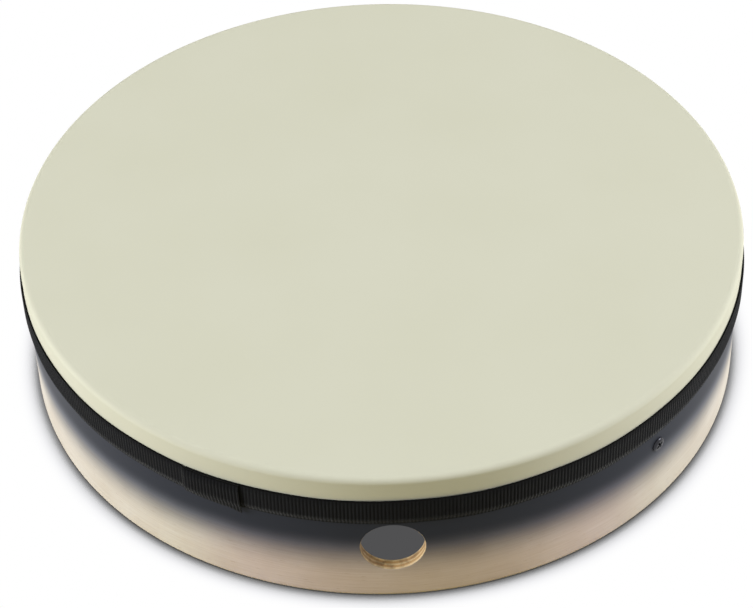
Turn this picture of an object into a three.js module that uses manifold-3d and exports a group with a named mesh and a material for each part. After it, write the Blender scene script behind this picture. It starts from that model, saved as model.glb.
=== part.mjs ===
// Bendir: a frame drum. A bent plywood shell carries a film head, whose collar is glued down
// over the rim and covered by a ribbon. Two snare strands cross the underside of the head, from
// a fixed butt plate to a strainer whose thumbscrew draws them tight.
// Millimetres, +Z up. The origin is the centre of the plane that the open rim stands on, and the
// thumb hole faces -Y.

import * as THREE from 'three';
import { mergeVertices } from 'three/addons/utils/BufferGeometryUtils.js';
import Module from 'manifold-3d';

// Clearance between pieces that are glued to, seated on or turning in one another
const SEAT_GAP = 0.3;

// Steps round the drum, round a small hole or pin, and along an edge's round
const DRUM_STEPS = 96;
const SMALL_STEPS = 24;
const EDGE_STEPS = 2;

// Shell
const HEAD_DIAMETER = 406.4; // over the head's collar
const SHELL_HEIGHT = 88.9;
const SHELL_WALL = 6.5;
const RIM_ROUND = 2; // outer edge that the drum stands on
const BEARING_ROUND = 2.6; // outer edge under the head
const INNER_EASE = 1; // both inner edges
const THUMB_HOLE_DIAMETER = 34;
const THUMB_HOLE_HEIGHT = 38;

// Head
const FILM_THICKNESS = 0.6;

// Ribbon
const RIBBON_WIDTH = 17.6;
const RIBBON_DROP = 14.8; // top of the head to the ribbon's upper edge
const RIBBON_THICKNESS = 1;
const RIBBON_CROWN = 0.2;
const FILM_COVER = 3.5; // how far the ribbon runs below the film's cut edge
const LAP_END_AZIMUTH = -22.4; // degrees from the thumb hole, towards +X
const LAP_LENGTH = 31;
const LAP_CLIMB = 12; // length of ribbon that rises onto the lap
const LAP_DROOP = 4; // how far the lapped end's lower edge hangs down

// Snare strands
const SNARE_AZIMUTH = 45; // degrees from the thumb hole to the strainer, towards +X
const STRAND_DIAMETER = 1.2;
const STRAND_SPACING = 10;
const STRAND_TAIL = 5; // free end below the clamp
const KNOT_DIAMETER = 3.8;

// Sheet metal of both brackets
const SHEET = 2;
const BEND_RADIUS = 1; // inside of a bend
const CORNER_RADIUS = 3;

// Fixing screw of each bracket, through the shell
const FIXING_DROP = 42.4; // top of the shell to the screw's axis
const FIXING_DIAMETER = 4;
const FIXING_HEAD_DIAMETER = 8.4;
const FIXING_HEAD_HEIGHT = 1.4;
const FIXING_TAIL = 1.5; // thread past the nut
const WASHER_DIAMETER = 10;
const WASHER_THICKNESS = 1;
const NUT_ACROSS_FLATS = 7;
const NUT_HEIGHT = 4;

// Strainer bracket and its saddle pin
const CHANNEL_WIDTH = 24; // between the ears
const EAR_MARGIN = 2.5; // metal past the saddle pin, towards the centre
const EAR_OVER = 0.8; // metal above the saddle pin
const EAR_GUIDE = 3.7; // straight ear below the carriage at the drawn limit
const EAR_SLOPE = 14; // height over which the ears taper into the back plate
const SHELF_CLEARANCE = 9; // below the fixing washer
const SHELF_MARGIN = 6; // metal past the tension screw's axis
const SADDLE_PIN_DIAMETER = 4;
const RIVET_HEAD_DIAMETER = 6.4;
const RIVET_HEAD_HEIGHT = 1;

// Carriage, its clamp and their travel
const CARRIAGE_HEIGHT = 9;
const CARRIAGE_WALL = 1.5; // metal between the tension screw and the clamping face
const CARRIAGE_HEADROOM = 2.5; // below the saddle pin at the slack limit
const SLACK_TRAVEL = 4;
const DRAW_TRAVEL = 2;
const CLAMP_THICKNESS = 2;
const CLAMP_INSET = 1; // from the carriage's edges
const CLAMP_SCREW_DIAMETER = 3;
const CLAMP_SCREW_DEPTH = 7; // thread in the carriage
const CLAMP_SCREW_EDGE = 2.1; // from the clamp plate's end to the screw's axis
const CLAMP_HEAD_DIAMETER = 5.5;
const CLAMP_HEAD_HEIGHT = 2;

// Tension thumbscrew and its retaining clip
const TENSION_DIAMETER = 5;
const TENSION_CLEARANCE = 1; // past the end of the fixing screw
const TENSION_END = 1; // thread past the carriage at the slack limit
const KNOB_DIAMETER = 14;
const KNOB_HEIGHT = 11;
const KNOB_FLUTES = 20;
const FLUTE_DEPTH = 0.6;
const BOSS_DIAMETER = 9;
const BOSS_HEIGHT = 1.5;
const CLIP_DIAMETER = 9;
const CLIP_THICKNESS = 0.8;
const CLIP_GROOVE = 0.6; // depth of its groove in the thread
const CLIP_MOUTH = 3;

// Butt plate
const BUTT_WIDTH = 24;
const BUTT_REACH = 11; // from the plate's face to the strand holes
const BUTT_LIP = 3.5; // metal past the strand holes
const BUTT_FOOT = 10; // below the fixing screw
const BUTT_STRAND_BEND = 2.5; // radius of the strand's turn into its hole

// Cross recess of a screw head, as shares of the head
const RECESS_SPAN = 0.56;
const RECESS_WIDTH = 0.13;
const RECESS_DEPTH = 0.55;

// Radii and heights that follow from the sizes above
const collarRadius = HEAD_DIAMETER / 2;
const shellRadius = collarRadius - FILM_THICKNESS - SEAT_GAP;
const boreRadius = shellRadius - SHELL_WALL;
const headUnderside = SHELL_HEIGHT + SEAT_GAP;
const headTop = headUnderside + FILM_THICKNESS;
const ribbonTop = headTop - RIBBON_DROP;
const ribbonBottom = ribbonTop - RIBBON_WIDTH;
const filmEnd = ribbonBottom + FILM_COVER;
const fixingHeight = SHELL_HEIGHT - FIXING_DROP;
const snareAngle = THREE.MathUtils.degToRad(SNARE_AZIMUTH - 90);
const strandRadius = STRAND_DIAMETER / 2;
const strandHeight = headUnderside - SEAT_GAP - strandRadius;

// Along the snare line, measured out from the drum's axis: the strainer
const bracketWidth = CHANNEL_WIDTH + 2 * SHEET;
const plateBack = backOfPlate(bracketWidth);
const plateFace = plateBack - SHEET;
const fixingEnd = endOfFixing(plateFace);
const tensionAxis = fixingEnd - TENSION_CLEARANCE - TENSION_DIAMETER / 2;
const carriageFace = tensionAxis - TENSION_DIAMETER / 2 - SEAT_GAP - CARRIAGE_WALL;
const strandFall = carriageFace - SEAT_GAP - strandRadius;
const saddleBend = SADDLE_PIN_DIAMETER / 2 + SEAT_GAP + strandRadius;
const saddleAxis = strandFall - saddleBend;
const saddleHeight = strandHeight - saddleBend;
const clampBack = strandFall - strandRadius - SEAT_GAP;
const clampFace = clampBack - CLAMP_THICKNESS;
const clampHalf = CHANNEL_WIDTH / 2 - SEAT_GAP - CLAMP_INSET;
const clampScrewOffset = clampHalf - CLAMP_SCREW_EDGE;
const earTip = saddleAxis - SADDLE_PIN_DIAMETER / 2 - EAR_MARGIN;
const bracketTop = saddleHeight + SADDLE_PIN_DIAMETER / 2 + EAR_OVER;
const carriageTop =
  saddleHeight - SADDLE_PIN_DIAMETER / 2 - CARRIAGE_HEADROOM - SLACK_TRAVEL;
const carriageBottom = carriageTop - CARRIAGE_HEIGHT;
const earBottom = carriageBottom - DRAW_TRAVEL - EAR_GUIDE;
const shelfTop = fixingHeight - WASHER_DIAMETER / 2 - SHELF_CLEARANCE;
const shelfBottom = shelfTop - SHEET;
const clipBottom = shelfTop + SEAT_GAP;

// Along the snare line: the butt plate
const buttBack = backOfPlate(BUTT_WIDTH);
const buttFace = buttBack - SHEET;
const buttHole = buttFace - BUTT_REACH;
const tongueTop = strandHeight - BUTT_STRAND_BEND - SEAT_GAP;
const tongueBottom = tongueTop - SHEET;
const knotHeight = tongueBottom - SEAT_GAP - KNOT_DIAMETER / 2;

const wasm = await Module();
wasm.setup();

// Distance from the axis to the back of a flat plate whose two edges rest on the curved wall
function backOfPlate(width) {
  return Math.sqrt(boreRadius ** 2 - (width / 2) ** 2) - SEAT_GAP;
}

// Distance from the axis to the inner end of the screw that fixes a plate with this face
function endOfFixing(face) {
  return face - SEAT_GAP - WASHER_THICKNESS - SEAT_GAP - NUT_HEIGHT - FIXING_TAIL;
}

// A geometry with its shared vertices merged and its collapsed triangles dropped
function weld(geometry) {
  const bare = geometry.clone();
  bare.deleteAttribute('normal');
  bare.deleteAttribute('uv');
  const merged = mergeVertices(bare, 1e-4);
  const index = merged.index.array;
  const kept = [];
  for (let i = 0; i < index.length; i += 3) {
    const [a, b, c] = index.slice(i, i + 3);
    if (a !== b && b !== c && c !== a) kept.push(a, b, c);
  }
  merged.setIndex(kept);
  return merged;
}

function solidOf(geometry) {
  const welded = weld(geometry);
  const mesh = new wasm.Mesh({
    numProp: 3,
    vertProperties: new Float32Array(welded.attributes.position.array),
    triVerts: new Uint32Array(welded.index.array),
  });
  return new wasm.Manifold(mesh);
}

function geometryOf(solid) {
  const mesh = solid.getMesh();
  const geometry = new THREE.BufferGeometry();
  geometry.setAttribute('position', new THREE.BufferAttribute(mesh.vertProperties, 3));
  geometry.setIndex(new THREE.BufferAttribute(mesh.triVerts, 1));
  return geometry;
}

function join(...geometries) {
  return geometryOf(geometries.map(solidOf).reduce((whole, next) => whole.add(next)));
}

function cut(geometry, ...tools) {
  return geometryOf(tools.map(solidOf).reduce((rest, tool) => rest.subtract(tool), solidOf(geometry)));
}

function overlapOf(first, second) {
  return geometryOf(solidOf(first).intersect(solidOf(second)));
}

// A box between two corners
function block([x0, y0, z0], [x1, y1, z1]) {
  const box = new THREE.BoxGeometry(x1 - x0, y1 - y0, z1 - z0);
  return box.translate((x0 + x1) / 2, (y0 + y1) / 2, (z0 + z1) / 2);
}

// Round rods along X, Y and Z
function rodX(diameter, from, to, y, z) {
  const rod = rodOf(diameter, to - from).rotateZ(-Math.PI / 2);
  return rod.translate((from + to) / 2, y, z);
}

function rodY(diameter, from, to, x, z) {
  return rodOf(diameter, to - from).translate(x, (from + to) / 2, z);
}

function rodZ(diameter, from, to, x, y) {
  const rod = rodOf(diameter, to - from).rotateX(Math.PI / 2);
  return rod.translate(x, y, (from + to) / 2);
}

function rodOf(diameter, length) {
  return new THREE.CylinderGeometry(diameter / 2, diameter / 2, length, SMALL_STEPS);
}

// A profile of radius and height turned about Z
function revolve(profile, steps) {
  const points = profile.getPoints(EDGE_STEPS);
  return new THREE.LatheGeometry(points, steps).rotateX(Math.PI / 2);
}

// A flat outline in X and Y, raised between two heights
function slab(outline, bottom, top) {
  const options = { depth: top - bottom, bevelEnabled: false, curveSegments: EDGE_STEPS };
  return new THREE.ExtrudeGeometry(outline, options).translate(0, 0, bottom);
}

// A side outline in X and Z, spread over a width in Y
function spread(outline, width) {
  const options = { depth: width, bevelEnabled: false, curveSegments: EDGE_STEPS };
  const geometry = new THREE.ExtrudeGeometry(outline, options).rotateX(Math.PI / 2);
  return geometry.translate(0, width / 2, 0);
}

function roundedRectangle(x0, x1, y0, y1, radius) {
  const shape = new THREE.Shape();
  shape.absarc(x1 - radius, y1 - radius, radius, 0, Math.PI / 2);
  shape.absarc(x0 + radius, y1 - radius, radius, Math.PI / 2, Math.PI);
  shape.absarc(x0 + radius, y0 + radius, radius, Math.PI, 1.5 * Math.PI);
  shape.absarc(x1 - radius, y0 + radius, radius, 1.5 * Math.PI, 2 * Math.PI);
  return shape;
}

// A strip swept through sections of pairs, inner points and then outer ones, closed at both ends
function sweepStrip(sections) {
  const pairs = sections[0].length / 2;
  const count = 2 * pairs;
  const positions = sections.flat().flatMap((point) => point.toArray());
  const triangles = [];
  const quad = (a, b, c, d) => triangles.push(a, b, c, a, c, d);
  for (let s = 0; s < sections.length - 1; s += 1) {
    for (let k = 0; k < count; k += 1) {
      const next = (k + 1) % count;
      quad(s * count + k, s * count + next, (s + 1) * count + next, (s + 1) * count + k);
    }
  }
  const last = (sections.length - 1) * count;
  for (let k = 0; k < pairs - 1; k += 1) {
    const far = count - 1 - k;
    quad(k, far, far - 1, k + 1);
    quad(last + k, last + k + 1, last + far - 1, last + far);
  }
  const geometry = new THREE.BufferGeometry();
  geometry.setAttribute('position', new THREE.Float32BufferAttribute(positions, 3));
  geometry.setIndex(triangles);
  return geometry;
}

// A path through chosen points, with one step of an extrusion from each point to the next
class SteppedPath extends THREE.Curve {
  constructor(points) {
    super();
    this.points = points;
  }

  get steps() {
    return this.points.length - 1;
  }

  getPointAt(share) {
    return this.points[Math.round(share * this.steps)].clone();
  }

  getTangentAt(share) {
    const at = Math.round(share * this.steps);
    const before = this.points[Math.max(at - 1, 0)];
    const after = this.points[Math.min(at + 1, this.steps)];
    return after.clone().sub(before).normalize();
  }
}

// Points of a quarter turn in the plane of X and Z
function quarterTurn(x, y, z, radius, from, steps) {
  return Array.from({ length: steps + 1 }, (_, i) => {
    const angle = from - (i / steps) * (Math.PI / 2);
    return new THREE.Vector3(x + radius * Math.cos(angle), y, z + radius * Math.sin(angle));
  });
}

function shellGeometry() {
  const profile = new THREE.Path();
  profile.moveTo(boreRadius + INNER_EASE, 0);
  profile.lineTo(shellRadius - RIM_ROUND, 0);
  profile.absarc(shellRadius - RIM_ROUND, RIM_ROUND, RIM_ROUND, -Math.PI / 2, 0);
  const bearing = SHELL_HEIGHT - BEARING_ROUND;
  profile.absarc(shellRadius - BEARING_ROUND, bearing, BEARING_ROUND, 0, Math.PI / 2);
  profile.lineTo(boreRadius + INNER_EASE, SHELL_HEIGHT);
  profile.lineTo(boreRadius, SHELL_HEIGHT - INNER_EASE);
  profile.lineTo(boreRadius, INNER_EASE);
  profile.lineTo(boreRadius + INNER_EASE, 0);
  const hoop = revolve(profile, DRUM_STEPS);

  const thumb = THUMB_HOLE_DIAMETER / 2;
  const hole = new THREE.CylinderGeometry(thumb, thumb, 2 * SHELL_WALL + thumb, 2 * SMALL_STEPS);
  hole.translate(0, -boreRadius, THUMB_HOLE_HEIGHT);
  const drill = FIXING_DIAMETER + 2 * SEAT_GAP;
  const through = shellRadius + SHELL_WALL;
  const screwHole = rodX(drill, boreRadius - SHELL_WALL, through, 0, fixingHeight);
  const strainerScrewHole = screwHole.clone().rotateZ(snareAngle);
  const buttScrewHole = screwHole.clone().rotateZ(snareAngle + Math.PI);
  return cut(hoop, hole, strainerScrewHole, buttScrewHole);
}

function headGeometry() {
  const inner = collarRadius - FILM_THICKNESS;
  const outerRound = BEARING_ROUND + SEAT_GAP + FILM_THICKNESS;
  const innerRound = BEARING_ROUND + SEAT_GAP;
  const shoulder = shellRadius - BEARING_ROUND;
  const height = SHELL_HEIGHT - BEARING_ROUND;
  const profile = new THREE.Path();
  profile.moveTo(0, headUnderside);
  profile.lineTo(shoulder, headUnderside);
  profile.absarc(shoulder, height, innerRound, Math.PI / 2, 0, true);
  profile.lineTo(inner, filmEnd);
  profile.lineTo(collarRadius, filmEnd);
  profile.absarc(shoulder, height, outerRound, 0, Math.PI / 2);
  profile.lineTo(0, headTop);
  return revolve(profile, DRUM_STEPS);
}

// The ribbon's section at one azimuth: lift carries it over the layer below, droop lowers its edge
function ribbonSection(azimuth, lift, droop) {
  const wall = shellRadius + SEAT_GAP + lift;
  const collar = collarRadius + SEAT_GAP + lift;
  const inner = [
    [wall, ribbonBottom - droop],
    [collar, filmEnd - SEAT_GAP],
    [collar + RIBBON_CROWN, (ribbonTop + filmEnd) / 2],
    [collar, ribbonTop],
  ];
  const outer = inner.map(([radius, height]) => [radius + RIBBON_THICKNESS, height]).reverse();
  return [...inner, ...outer].map(([radius, height]) =>
    new THREE.Vector3(radius * Math.sin(azimuth), -radius * Math.cos(azimuth), height));
}

function ribbonGeometry() {
  const radius = collarRadius + SEAT_GAP;
  const end = THREE.MathUtils.degToRad(LAP_END_AZIMUTH) + 2 * Math.PI;
  const lap = end - LAP_LENGTH / radius;
  const start = lap - 2 * Math.PI;
  const climb = lap - LAP_CLIMB / radius;
  const lapLift = RIBBON_THICKNESS + SEAT_GAP;
  const step = (2 * Math.PI) / DRUM_STEPS;
  const azimuths = [];
  for (let azimuth = start; azimuth < climb; azimuth += step) azimuths.push(azimuth);
  const fineSteps = 4 * EDGE_STEPS;
  for (let i = 0; i <= fineSteps; i += 1) azimuths.push(climb + (i / fineSteps) * (end - climb));
  const lifted = lap - step / 4; // clear of the layer below just before it begins
  return sweepStrip(azimuths.map((azimuth) => {
    const lift = lapLift * THREE.MathUtils.smoothstep(azimuth, climb, lifted);
    const droop = LAP_DROOP * THREE.MathUtils.smoothstep(azimuth, climb, end);
    return ribbonSection(azimuth, lift, droop);
  }));
}

function strandGeometry(y) {
  const toButt = quarterTurn(
    -buttHole + BUTT_STRAND_BEND, y, strandHeight - BUTT_STRAND_BEND, BUTT_STRAND_BEND, Math.PI, EDGE_STEPS);
  const overSaddle = quarterTurn(saddleAxis, y, saddleHeight, saddleBend, Math.PI / 2, EDGE_STEPS + 1);
  const route = new SteppedPath([
    new THREE.Vector3(-buttHole, y, knotHeight),
    ...toButt,
    ...overSaddle,
    new THREE.Vector3(strandFall, y, carriageBottom - STRAND_TAIL),
  ]);
  const sides = 8;
  const section = new THREE.Shape();
  section.absarc(0, 0, strandRadius, 0, 2 * Math.PI);
  const tube = new THREE.ExtrudeGeometry(section, {
    steps: route.steps, extrudePath: route, curveSegments: sides, bevelEnabled: false });
  const knot = new THREE.SphereGeometry(KNOT_DIAMETER / 2, sides, sides - 2);
  return join(tube, knot.translate(-buttHole, y, knotHeight));
}

// A cross cut into the outer face of a screw head that points along +X
function crossRecess(diameter, height, face) {
  const half = (RECESS_SPAN * diameter) / 2;
  const arm = (RECESS_WIDTH * diameter) / 2;
  const floor = face - RECESS_DEPTH * height;
  return join(
    block([floor, -half, -arm], [face + height, half, arm]),
    block([floor, -arm, -half], [face + height, arm, half]));
}

// A pan-head screw along X, with its head's underside at zero and its shank towards -X
function screwGeometry(diameter, length, headDiameter, headHeight) {
  const round = headHeight / 2;
  const profile = new THREE.Path();
  profile.moveTo(0, -length);
  profile.lineTo(diameter / 2, -length);
  profile.lineTo(diameter / 2, 0);
  profile.lineTo(headDiameter / 2, 0);
  profile.absarc(headDiameter / 2 - round, headHeight - round, round, 0, Math.PI / 2);
  profile.lineTo(0, headHeight);
  const pan = revolve(profile, SMALL_STEPS).rotateY(Math.PI / 2);
  return cut(pan, crossRecess(headDiameter, headHeight, headHeight));
}

function fixingScrewGeometry(face) {
  const seat = shellRadius + SEAT_GAP;
  const length = seat - endOfFixing(face);
  const screw = screwGeometry(FIXING_DIAMETER, length, FIXING_HEAD_DIAMETER, FIXING_HEAD_HEIGHT);
  return screw.translate(seat, 0, fixingHeight);
}

function fixingWasherGeometry(face) {
  const outer = face - SEAT_GAP;
  const disc = rodX(WASHER_DIAMETER, outer - WASHER_THICKNESS, outer, 0, fixingHeight);
  const hole = FIXING_DIAMETER + 2 * SEAT_GAP;
  return cut(disc, rodX(hole, outer - 2 * WASHER_THICKNESS, outer + WASHER_THICKNESS, 0, fixingHeight));
}

function fixingNutGeometry(face) {
  const outer = face - SEAT_GAP - WASHER_THICKNESS - SEAT_GAP;
  const corner = NUT_ACROSS_FLATS / Math.sqrt(3);
  const hexagon = new THREE.CylinderGeometry(corner, corner, NUT_HEIGHT, 6).rotateZ(Math.PI / 2);
  hexagon.translate(outer - NUT_HEIGHT / 2, 0, fixingHeight);
  const hole = FIXING_DIAMETER + 2 * SEAT_GAP;
  return cut(hexagon, rodX(hole, outer - 2 * NUT_HEIGHT, outer + NUT_HEIGHT, 0, fixingHeight));
}

// A folded channel with its back to the wall, trimmed to ears above and to a plate below
function strainerBracketGeometry() {
  const half = bracketWidth / 2;
  const bend = BEND_RADIUS + SHEET;
  const channel = new THREE.Shape();
  channel.moveTo(earTip, half);
  channel.lineTo(earTip, half - SHEET);
  channel.lineTo(plateFace - BEND_RADIUS, half - SHEET);
  channel.absarc(plateFace - BEND_RADIUS, half - bend, BEND_RADIUS, Math.PI / 2, 0, true);
  channel.absarc(plateFace - BEND_RADIUS, bend - half, BEND_RADIUS, 0, -Math.PI / 2, true);
  channel.lineTo(earTip, SHEET - half);
  channel.lineTo(earTip, -half);
  channel.absarc(plateBack - bend, bend - half, bend, -Math.PI / 2, 0);
  channel.absarc(plateBack - bend, half - bend, bend, 0, Math.PI / 2);
  const folded = slab(channel, shelfBottom, bracketTop);

  const side = new THREE.Shape();
  side.moveTo(plateBack + SHEET, shelfBottom - SHEET);
  side.lineTo(plateBack + SHEET, bracketTop + SHEET);
  side.lineTo(earTip + CORNER_RADIUS, bracketTop + SHEET);
  side.lineTo(earTip + CORNER_RADIUS, bracketTop);
  side.absarc(earTip + CORNER_RADIUS, bracketTop - CORNER_RADIUS, CORNER_RADIUS, Math.PI / 2, Math.PI);
  side.lineTo(earTip, earBottom);
  side.lineTo(plateFace - BEND_RADIUS, earBottom - EAR_SLOPE);
  side.lineTo(plateFace - BEND_RADIUS, shelfBottom - SHEET);
  const trimmed = overlapOf(folded, spread(side, 2 * bracketWidth));

  const shelfTip = tensionAxis - SHELF_MARGIN;
  const shelfHalf = half - bend;
  const shelfBack = plateBack - SHEET / 2;
  const shelfOutline = roundedRectangle(shelfTip, shelfBack, -shelfHalf, shelfHalf, CORNER_RADIUS);
  const shelf = slab(shelfOutline, shelfBottom, shelfTop);

  const fixingHole = FIXING_DIAMETER + 2 * SEAT_GAP;
  const pinHole = SADDLE_PIN_DIAMETER + 2 * SEAT_GAP;
  const screwHole = TENSION_DIAMETER + 2 * SEAT_GAP;
  return cut(
    join(trimmed, shelf),
    rodX(fixingHole, plateFace - SHEET, plateBack + SHEET, 0, fixingHeight),
    rodY(pinHole, -bracketWidth, bracketWidth, saddleAxis, saddleHeight),
    rodZ(screwHole, shelfBottom - SHEET, shelfTop + SHEET, tensionAxis, 0));
}

// A pin riveted over outside both ears
function saddlePinGeometry() {
  const seat = bracketWidth / 2 + SEAT_GAP;
  const end = seat + RIVET_HEAD_HEIGHT;
  return join(
    rodY(SADDLE_PIN_DIAMETER, -end, end, saddleAxis, saddleHeight),
    rodY(RIVET_HEAD_DIAMETER, seat, end, saddleAxis, saddleHeight),
    rodY(RIVET_HEAD_DIAMETER, -end, -seat, saddleAxis, saddleHeight));
}

// A block that slides between the ears, with the tension screw's thread and the clamp's threads
function carriageGeometry() {
  const half = CHANNEL_WIDTH / 2 - SEAT_GAP;
  const back = plateFace - SEAT_GAP;
  const body = slab(
    roundedRectangle(carriageFace, back, -half, half, BEND_RADIUS), carriageBottom, carriageTop);
  const thread = TENSION_DIAMETER + 2 * SEAT_GAP;
  const clampThread = CLAMP_SCREW_DIAMETER + 2 * SEAT_GAP;
  const middle = (carriageBottom + carriageTop) / 2;
  const deep = carriageFace + CLAMP_SCREW_DEPTH + SEAT_GAP;
  return cut(
    body,
    rodZ(thread, carriageBottom - CARRIAGE_HEIGHT, carriageTop + CARRIAGE_HEIGHT, tensionAxis, 0),
    rodX(clampThread, clampFace, deep, clampScrewOffset, middle),
    rodX(clampThread, clampFace, deep, -clampScrewOffset, middle));
}

function clampPlateGeometry() {
  const middle = (carriageBottom + carriageTop) / 2;
  const hole = CLAMP_SCREW_DIAMETER + 2 * SEAT_GAP;
  const holeFrom = clampFace - CLAMP_THICKNESS;
  return cut(
    block(
      [clampFace, -clampHalf, carriageBottom + CLAMP_INSET],
      [clampBack, clampHalf, carriageTop - CLAMP_INSET]),
    rodX(hole, holeFrom, carriageFace, clampScrewOffset, middle),
    rodX(hole, holeFrom, carriageFace, -clampScrewOffset, middle));
}

function clampScrewGeometry(y) {
  const seat = clampFace - SEAT_GAP;
  const length = carriageFace + CLAMP_SCREW_DEPTH - seat;
  const screw = screwGeometry(CLAMP_SCREW_DIAMETER, length, CLAMP_HEAD_DIAMETER, CLAMP_HEAD_HEIGHT);
  return screw.rotateZ(Math.PI).translate(seat, y, (carriageBottom + carriageTop) / 2);
}

// A thumbscrew that turns in the shelf, its fluted knob towards the open side of the drum
function tensionScrewGeometry() {
  const flute = [0, FLUTE_DEPTH / 2, FLUTE_DEPTH, FLUTE_DEPTH / 2];
  const outline = Array.from({ length: KNOB_FLUTES * flute.length }, (_, i) => {
    const angle = (i / (KNOB_FLUTES * flute.length)) * 2 * Math.PI;
    const radius = KNOB_DIAMETER / 2 - flute[i % flute.length];
    return new THREE.Vector2(tensionAxis + radius * Math.cos(angle), radius * Math.sin(angle));
  });
  const bossTop = shelfBottom - SEAT_GAP;
  const knobTop = bossTop - BOSS_HEIGHT;
  const knobBottom = knobTop - KNOB_HEIGHT;
  const threadTop = carriageTop + SLACK_TRAVEL + TENSION_END;
  const grooveBottom = clipBottom - CLIP_GROOVE / 2;
  const grooveTop = clipBottom + CLIP_THICKNESS + CLIP_GROOVE / 2;
  const grooved = TENSION_DIAMETER - 2 * CLIP_GROOVE;
  return join(
    slab(new THREE.Shape(outline), knobBottom, knobTop),
    rodZ(BOSS_DIAMETER, knobTop - BOSS_HEIGHT, bossTop, tensionAxis, 0),
    rodZ(TENSION_DIAMETER, knobTop, grooveBottom, tensionAxis, 0),
    rodZ(grooved, knobTop, threadTop, tensionAxis, 0),
    rodZ(TENSION_DIAMETER, grooveTop, threadTop, tensionAxis, 0));
}

// An open ring snapped into the thumbscrew's groove above the shelf
function retainingClipGeometry() {
  const top = clipBottom + CLIP_THICKNESS;
  const hole = TENSION_DIAMETER - 2 * CLIP_GROOVE + 2 * SEAT_GAP;
  return cut(
    rodZ(CLIP_DIAMETER, clipBottom, top, tensionAxis, 0),
    rodZ(hole, clipBottom - CLIP_THICKNESS, top + CLIP_THICKNESS, tensionAxis, 0),
    block(
      [tensionAxis - CLIP_DIAMETER, -CLIP_MOUTH / 2, clipBottom - CLIP_THICKNESS],
      [tensionAxis, CLIP_MOUTH / 2, top + CLIP_THICKNESS]));
}

// A strip bent over at the top, with a hole for each knotted strand
function buttPlateGeometry() {
  const bend = BEND_RADIUS + SHEET;
  const foot = fixingHeight - BUTT_FOOT;
  const tip = buttHole - strandRadius - BUTT_LIP;
  const strip = new THREE.Shape();
  strip.moveTo(buttFace, foot);
  strip.lineTo(buttBack, foot);
  strip.absarc(buttBack - bend, tongueTop - bend, bend, 0, Math.PI / 2);
  strip.lineTo(tip, tongueTop);
  strip.lineTo(tip, tongueBottom);
  strip.absarc(buttFace - BEND_RADIUS, tongueBottom - BEND_RADIUS, BEND_RADIUS, Math.PI / 2, 0, true);
  const strandHole = STRAND_DIAMETER + 2 * SEAT_GAP;
  const holes = [-1, 1].map((side) =>
    rodZ(strandHole, tongueBottom - SHEET, tongueTop + SHEET, buttHole, (side * STRAND_SPACING) / 2));
  const fixingHole = FIXING_DIAMETER + 2 * SEAT_GAP;
  return cut(
    spread(strip, BUTT_WIDTH),
    rodX(fixingHole, buttFace - SHEET, buttBack + SHEET, 0, fixingHeight),
    ...holes);
}

const finishes = {
  plywood: new THREE.MeshStandardMaterial({ color: 0xcdbb97, roughness: 0.45, metalness: 0 }),
  film: new THREE.MeshStandardMaterial({ color: 0xe2dfca, roughness: 0.55, metalness: 0 }),
  ribbon: new THREE.MeshStandardMaterial({ color: 0x1d1c1b, roughness: 0.8, metalness: 0 }),
  platedSteel: new THREE.MeshStandardMaterial({ color: 0xb9bcc0, roughness: 0.3, metalness: 1 }),
  brass: new THREE.MeshStandardMaterial({ color: 0xc2a15a, roughness: 0.35, metalness: 1 }),
  gut: new THREE.MeshStandardMaterial({ color: 0xd9cfb0, roughness: 0.4, metalness: 0 }),
};

function addPart(group, name, geometry, material) {
  const mesh = new THREE.Mesh(weld(geometry), material);
  mesh.name = name;
  group.add(mesh);
}

// The screw, washer and nut that hold one bracket to the shell
function addFixings(group, name, face) {
  addPart(group, `${name}_fixing_screw`, fixingScrewGeometry(face), finishes.platedSteel);
  addPart(group, `${name}_fixing_washer`, fixingWasherGeometry(face), finishes.platedSteel);
  addPart(group, `${name}_fixing_nut`, fixingNutGeometry(face), finishes.platedSteel);
}

const bendir = new THREE.Group();
addPart(bendir, 'shell', shellGeometry(), finishes.plywood);
addPart(bendir, 'drum_head', headGeometry(), finishes.film);
addPart(bendir, 'edge_ribbon', ribbonGeometry(), finishes.ribbon);

// Along the snare line +X points to the strainer
const snareLine = new THREE.Group();
snareLine.rotation.z = snareAngle;
bendir.add(snareLine);
addPart(snareLine, 'strainer_bracket', strainerBracketGeometry(), finishes.platedSteel);
addPart(snareLine, 'saddle_pin', saddlePinGeometry(), finishes.platedSteel);
addPart(snareLine, 'carriage', carriageGeometry(), finishes.brass);
addPart(snareLine, 'clamp_plate', clampPlateGeometry(), finishes.platedSteel);
[-1, 1].forEach((side, i) => {
  const screw = clampScrewGeometry(side * clampScrewOffset);
  addPart(snareLine, `clamp_screw_${i + 1}`, screw, finishes.platedSteel);
});
addPart(snareLine, 'tension_screw', tensionScrewGeometry(), finishes.brass);
addPart(snareLine, 'retaining_clip', retainingClipGeometry(), finishes.platedSteel);
addFixings(snareLine, 'strainer', plateFace);
[-1, 1].forEach((side, i) => {
  const strand = strandGeometry((side * STRAND_SPACING) / 2);
  addPart(snareLine, `snare_strand_${i + 1}`, strand, finishes.gut);
});

const buttEnd = new THREE.Group();
buttEnd.rotation.z = Math.PI;
snareLine.add(buttEnd);
addPart(buttEnd, 'butt_plate', buttPlateGeometry(), finishes.platedSteel);
addFixings(buttEnd, 'butt', buttFace);

export default bendir;
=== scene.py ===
"""The looks of a bendir, a frame drum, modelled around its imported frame.

Each piece is modelled on a bench in millimetres, in the drum's own frame or along its snare line, and
is then settled in the frame in metres. Main sizes and places come from the frame's own pieces.
Lengths are in millimetres and angles in radians, unless a comment or a docstring says otherwise.
"""

from __future__ import annotations

import logging
import math
from collections.abc import Callable, Sequence
from dataclasses import dataclass
from enum import Enum, IntEnum
from functools import partial

import bmesh
import bpy
import numpy as np
from mathutils import Matrix, Vector

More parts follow.
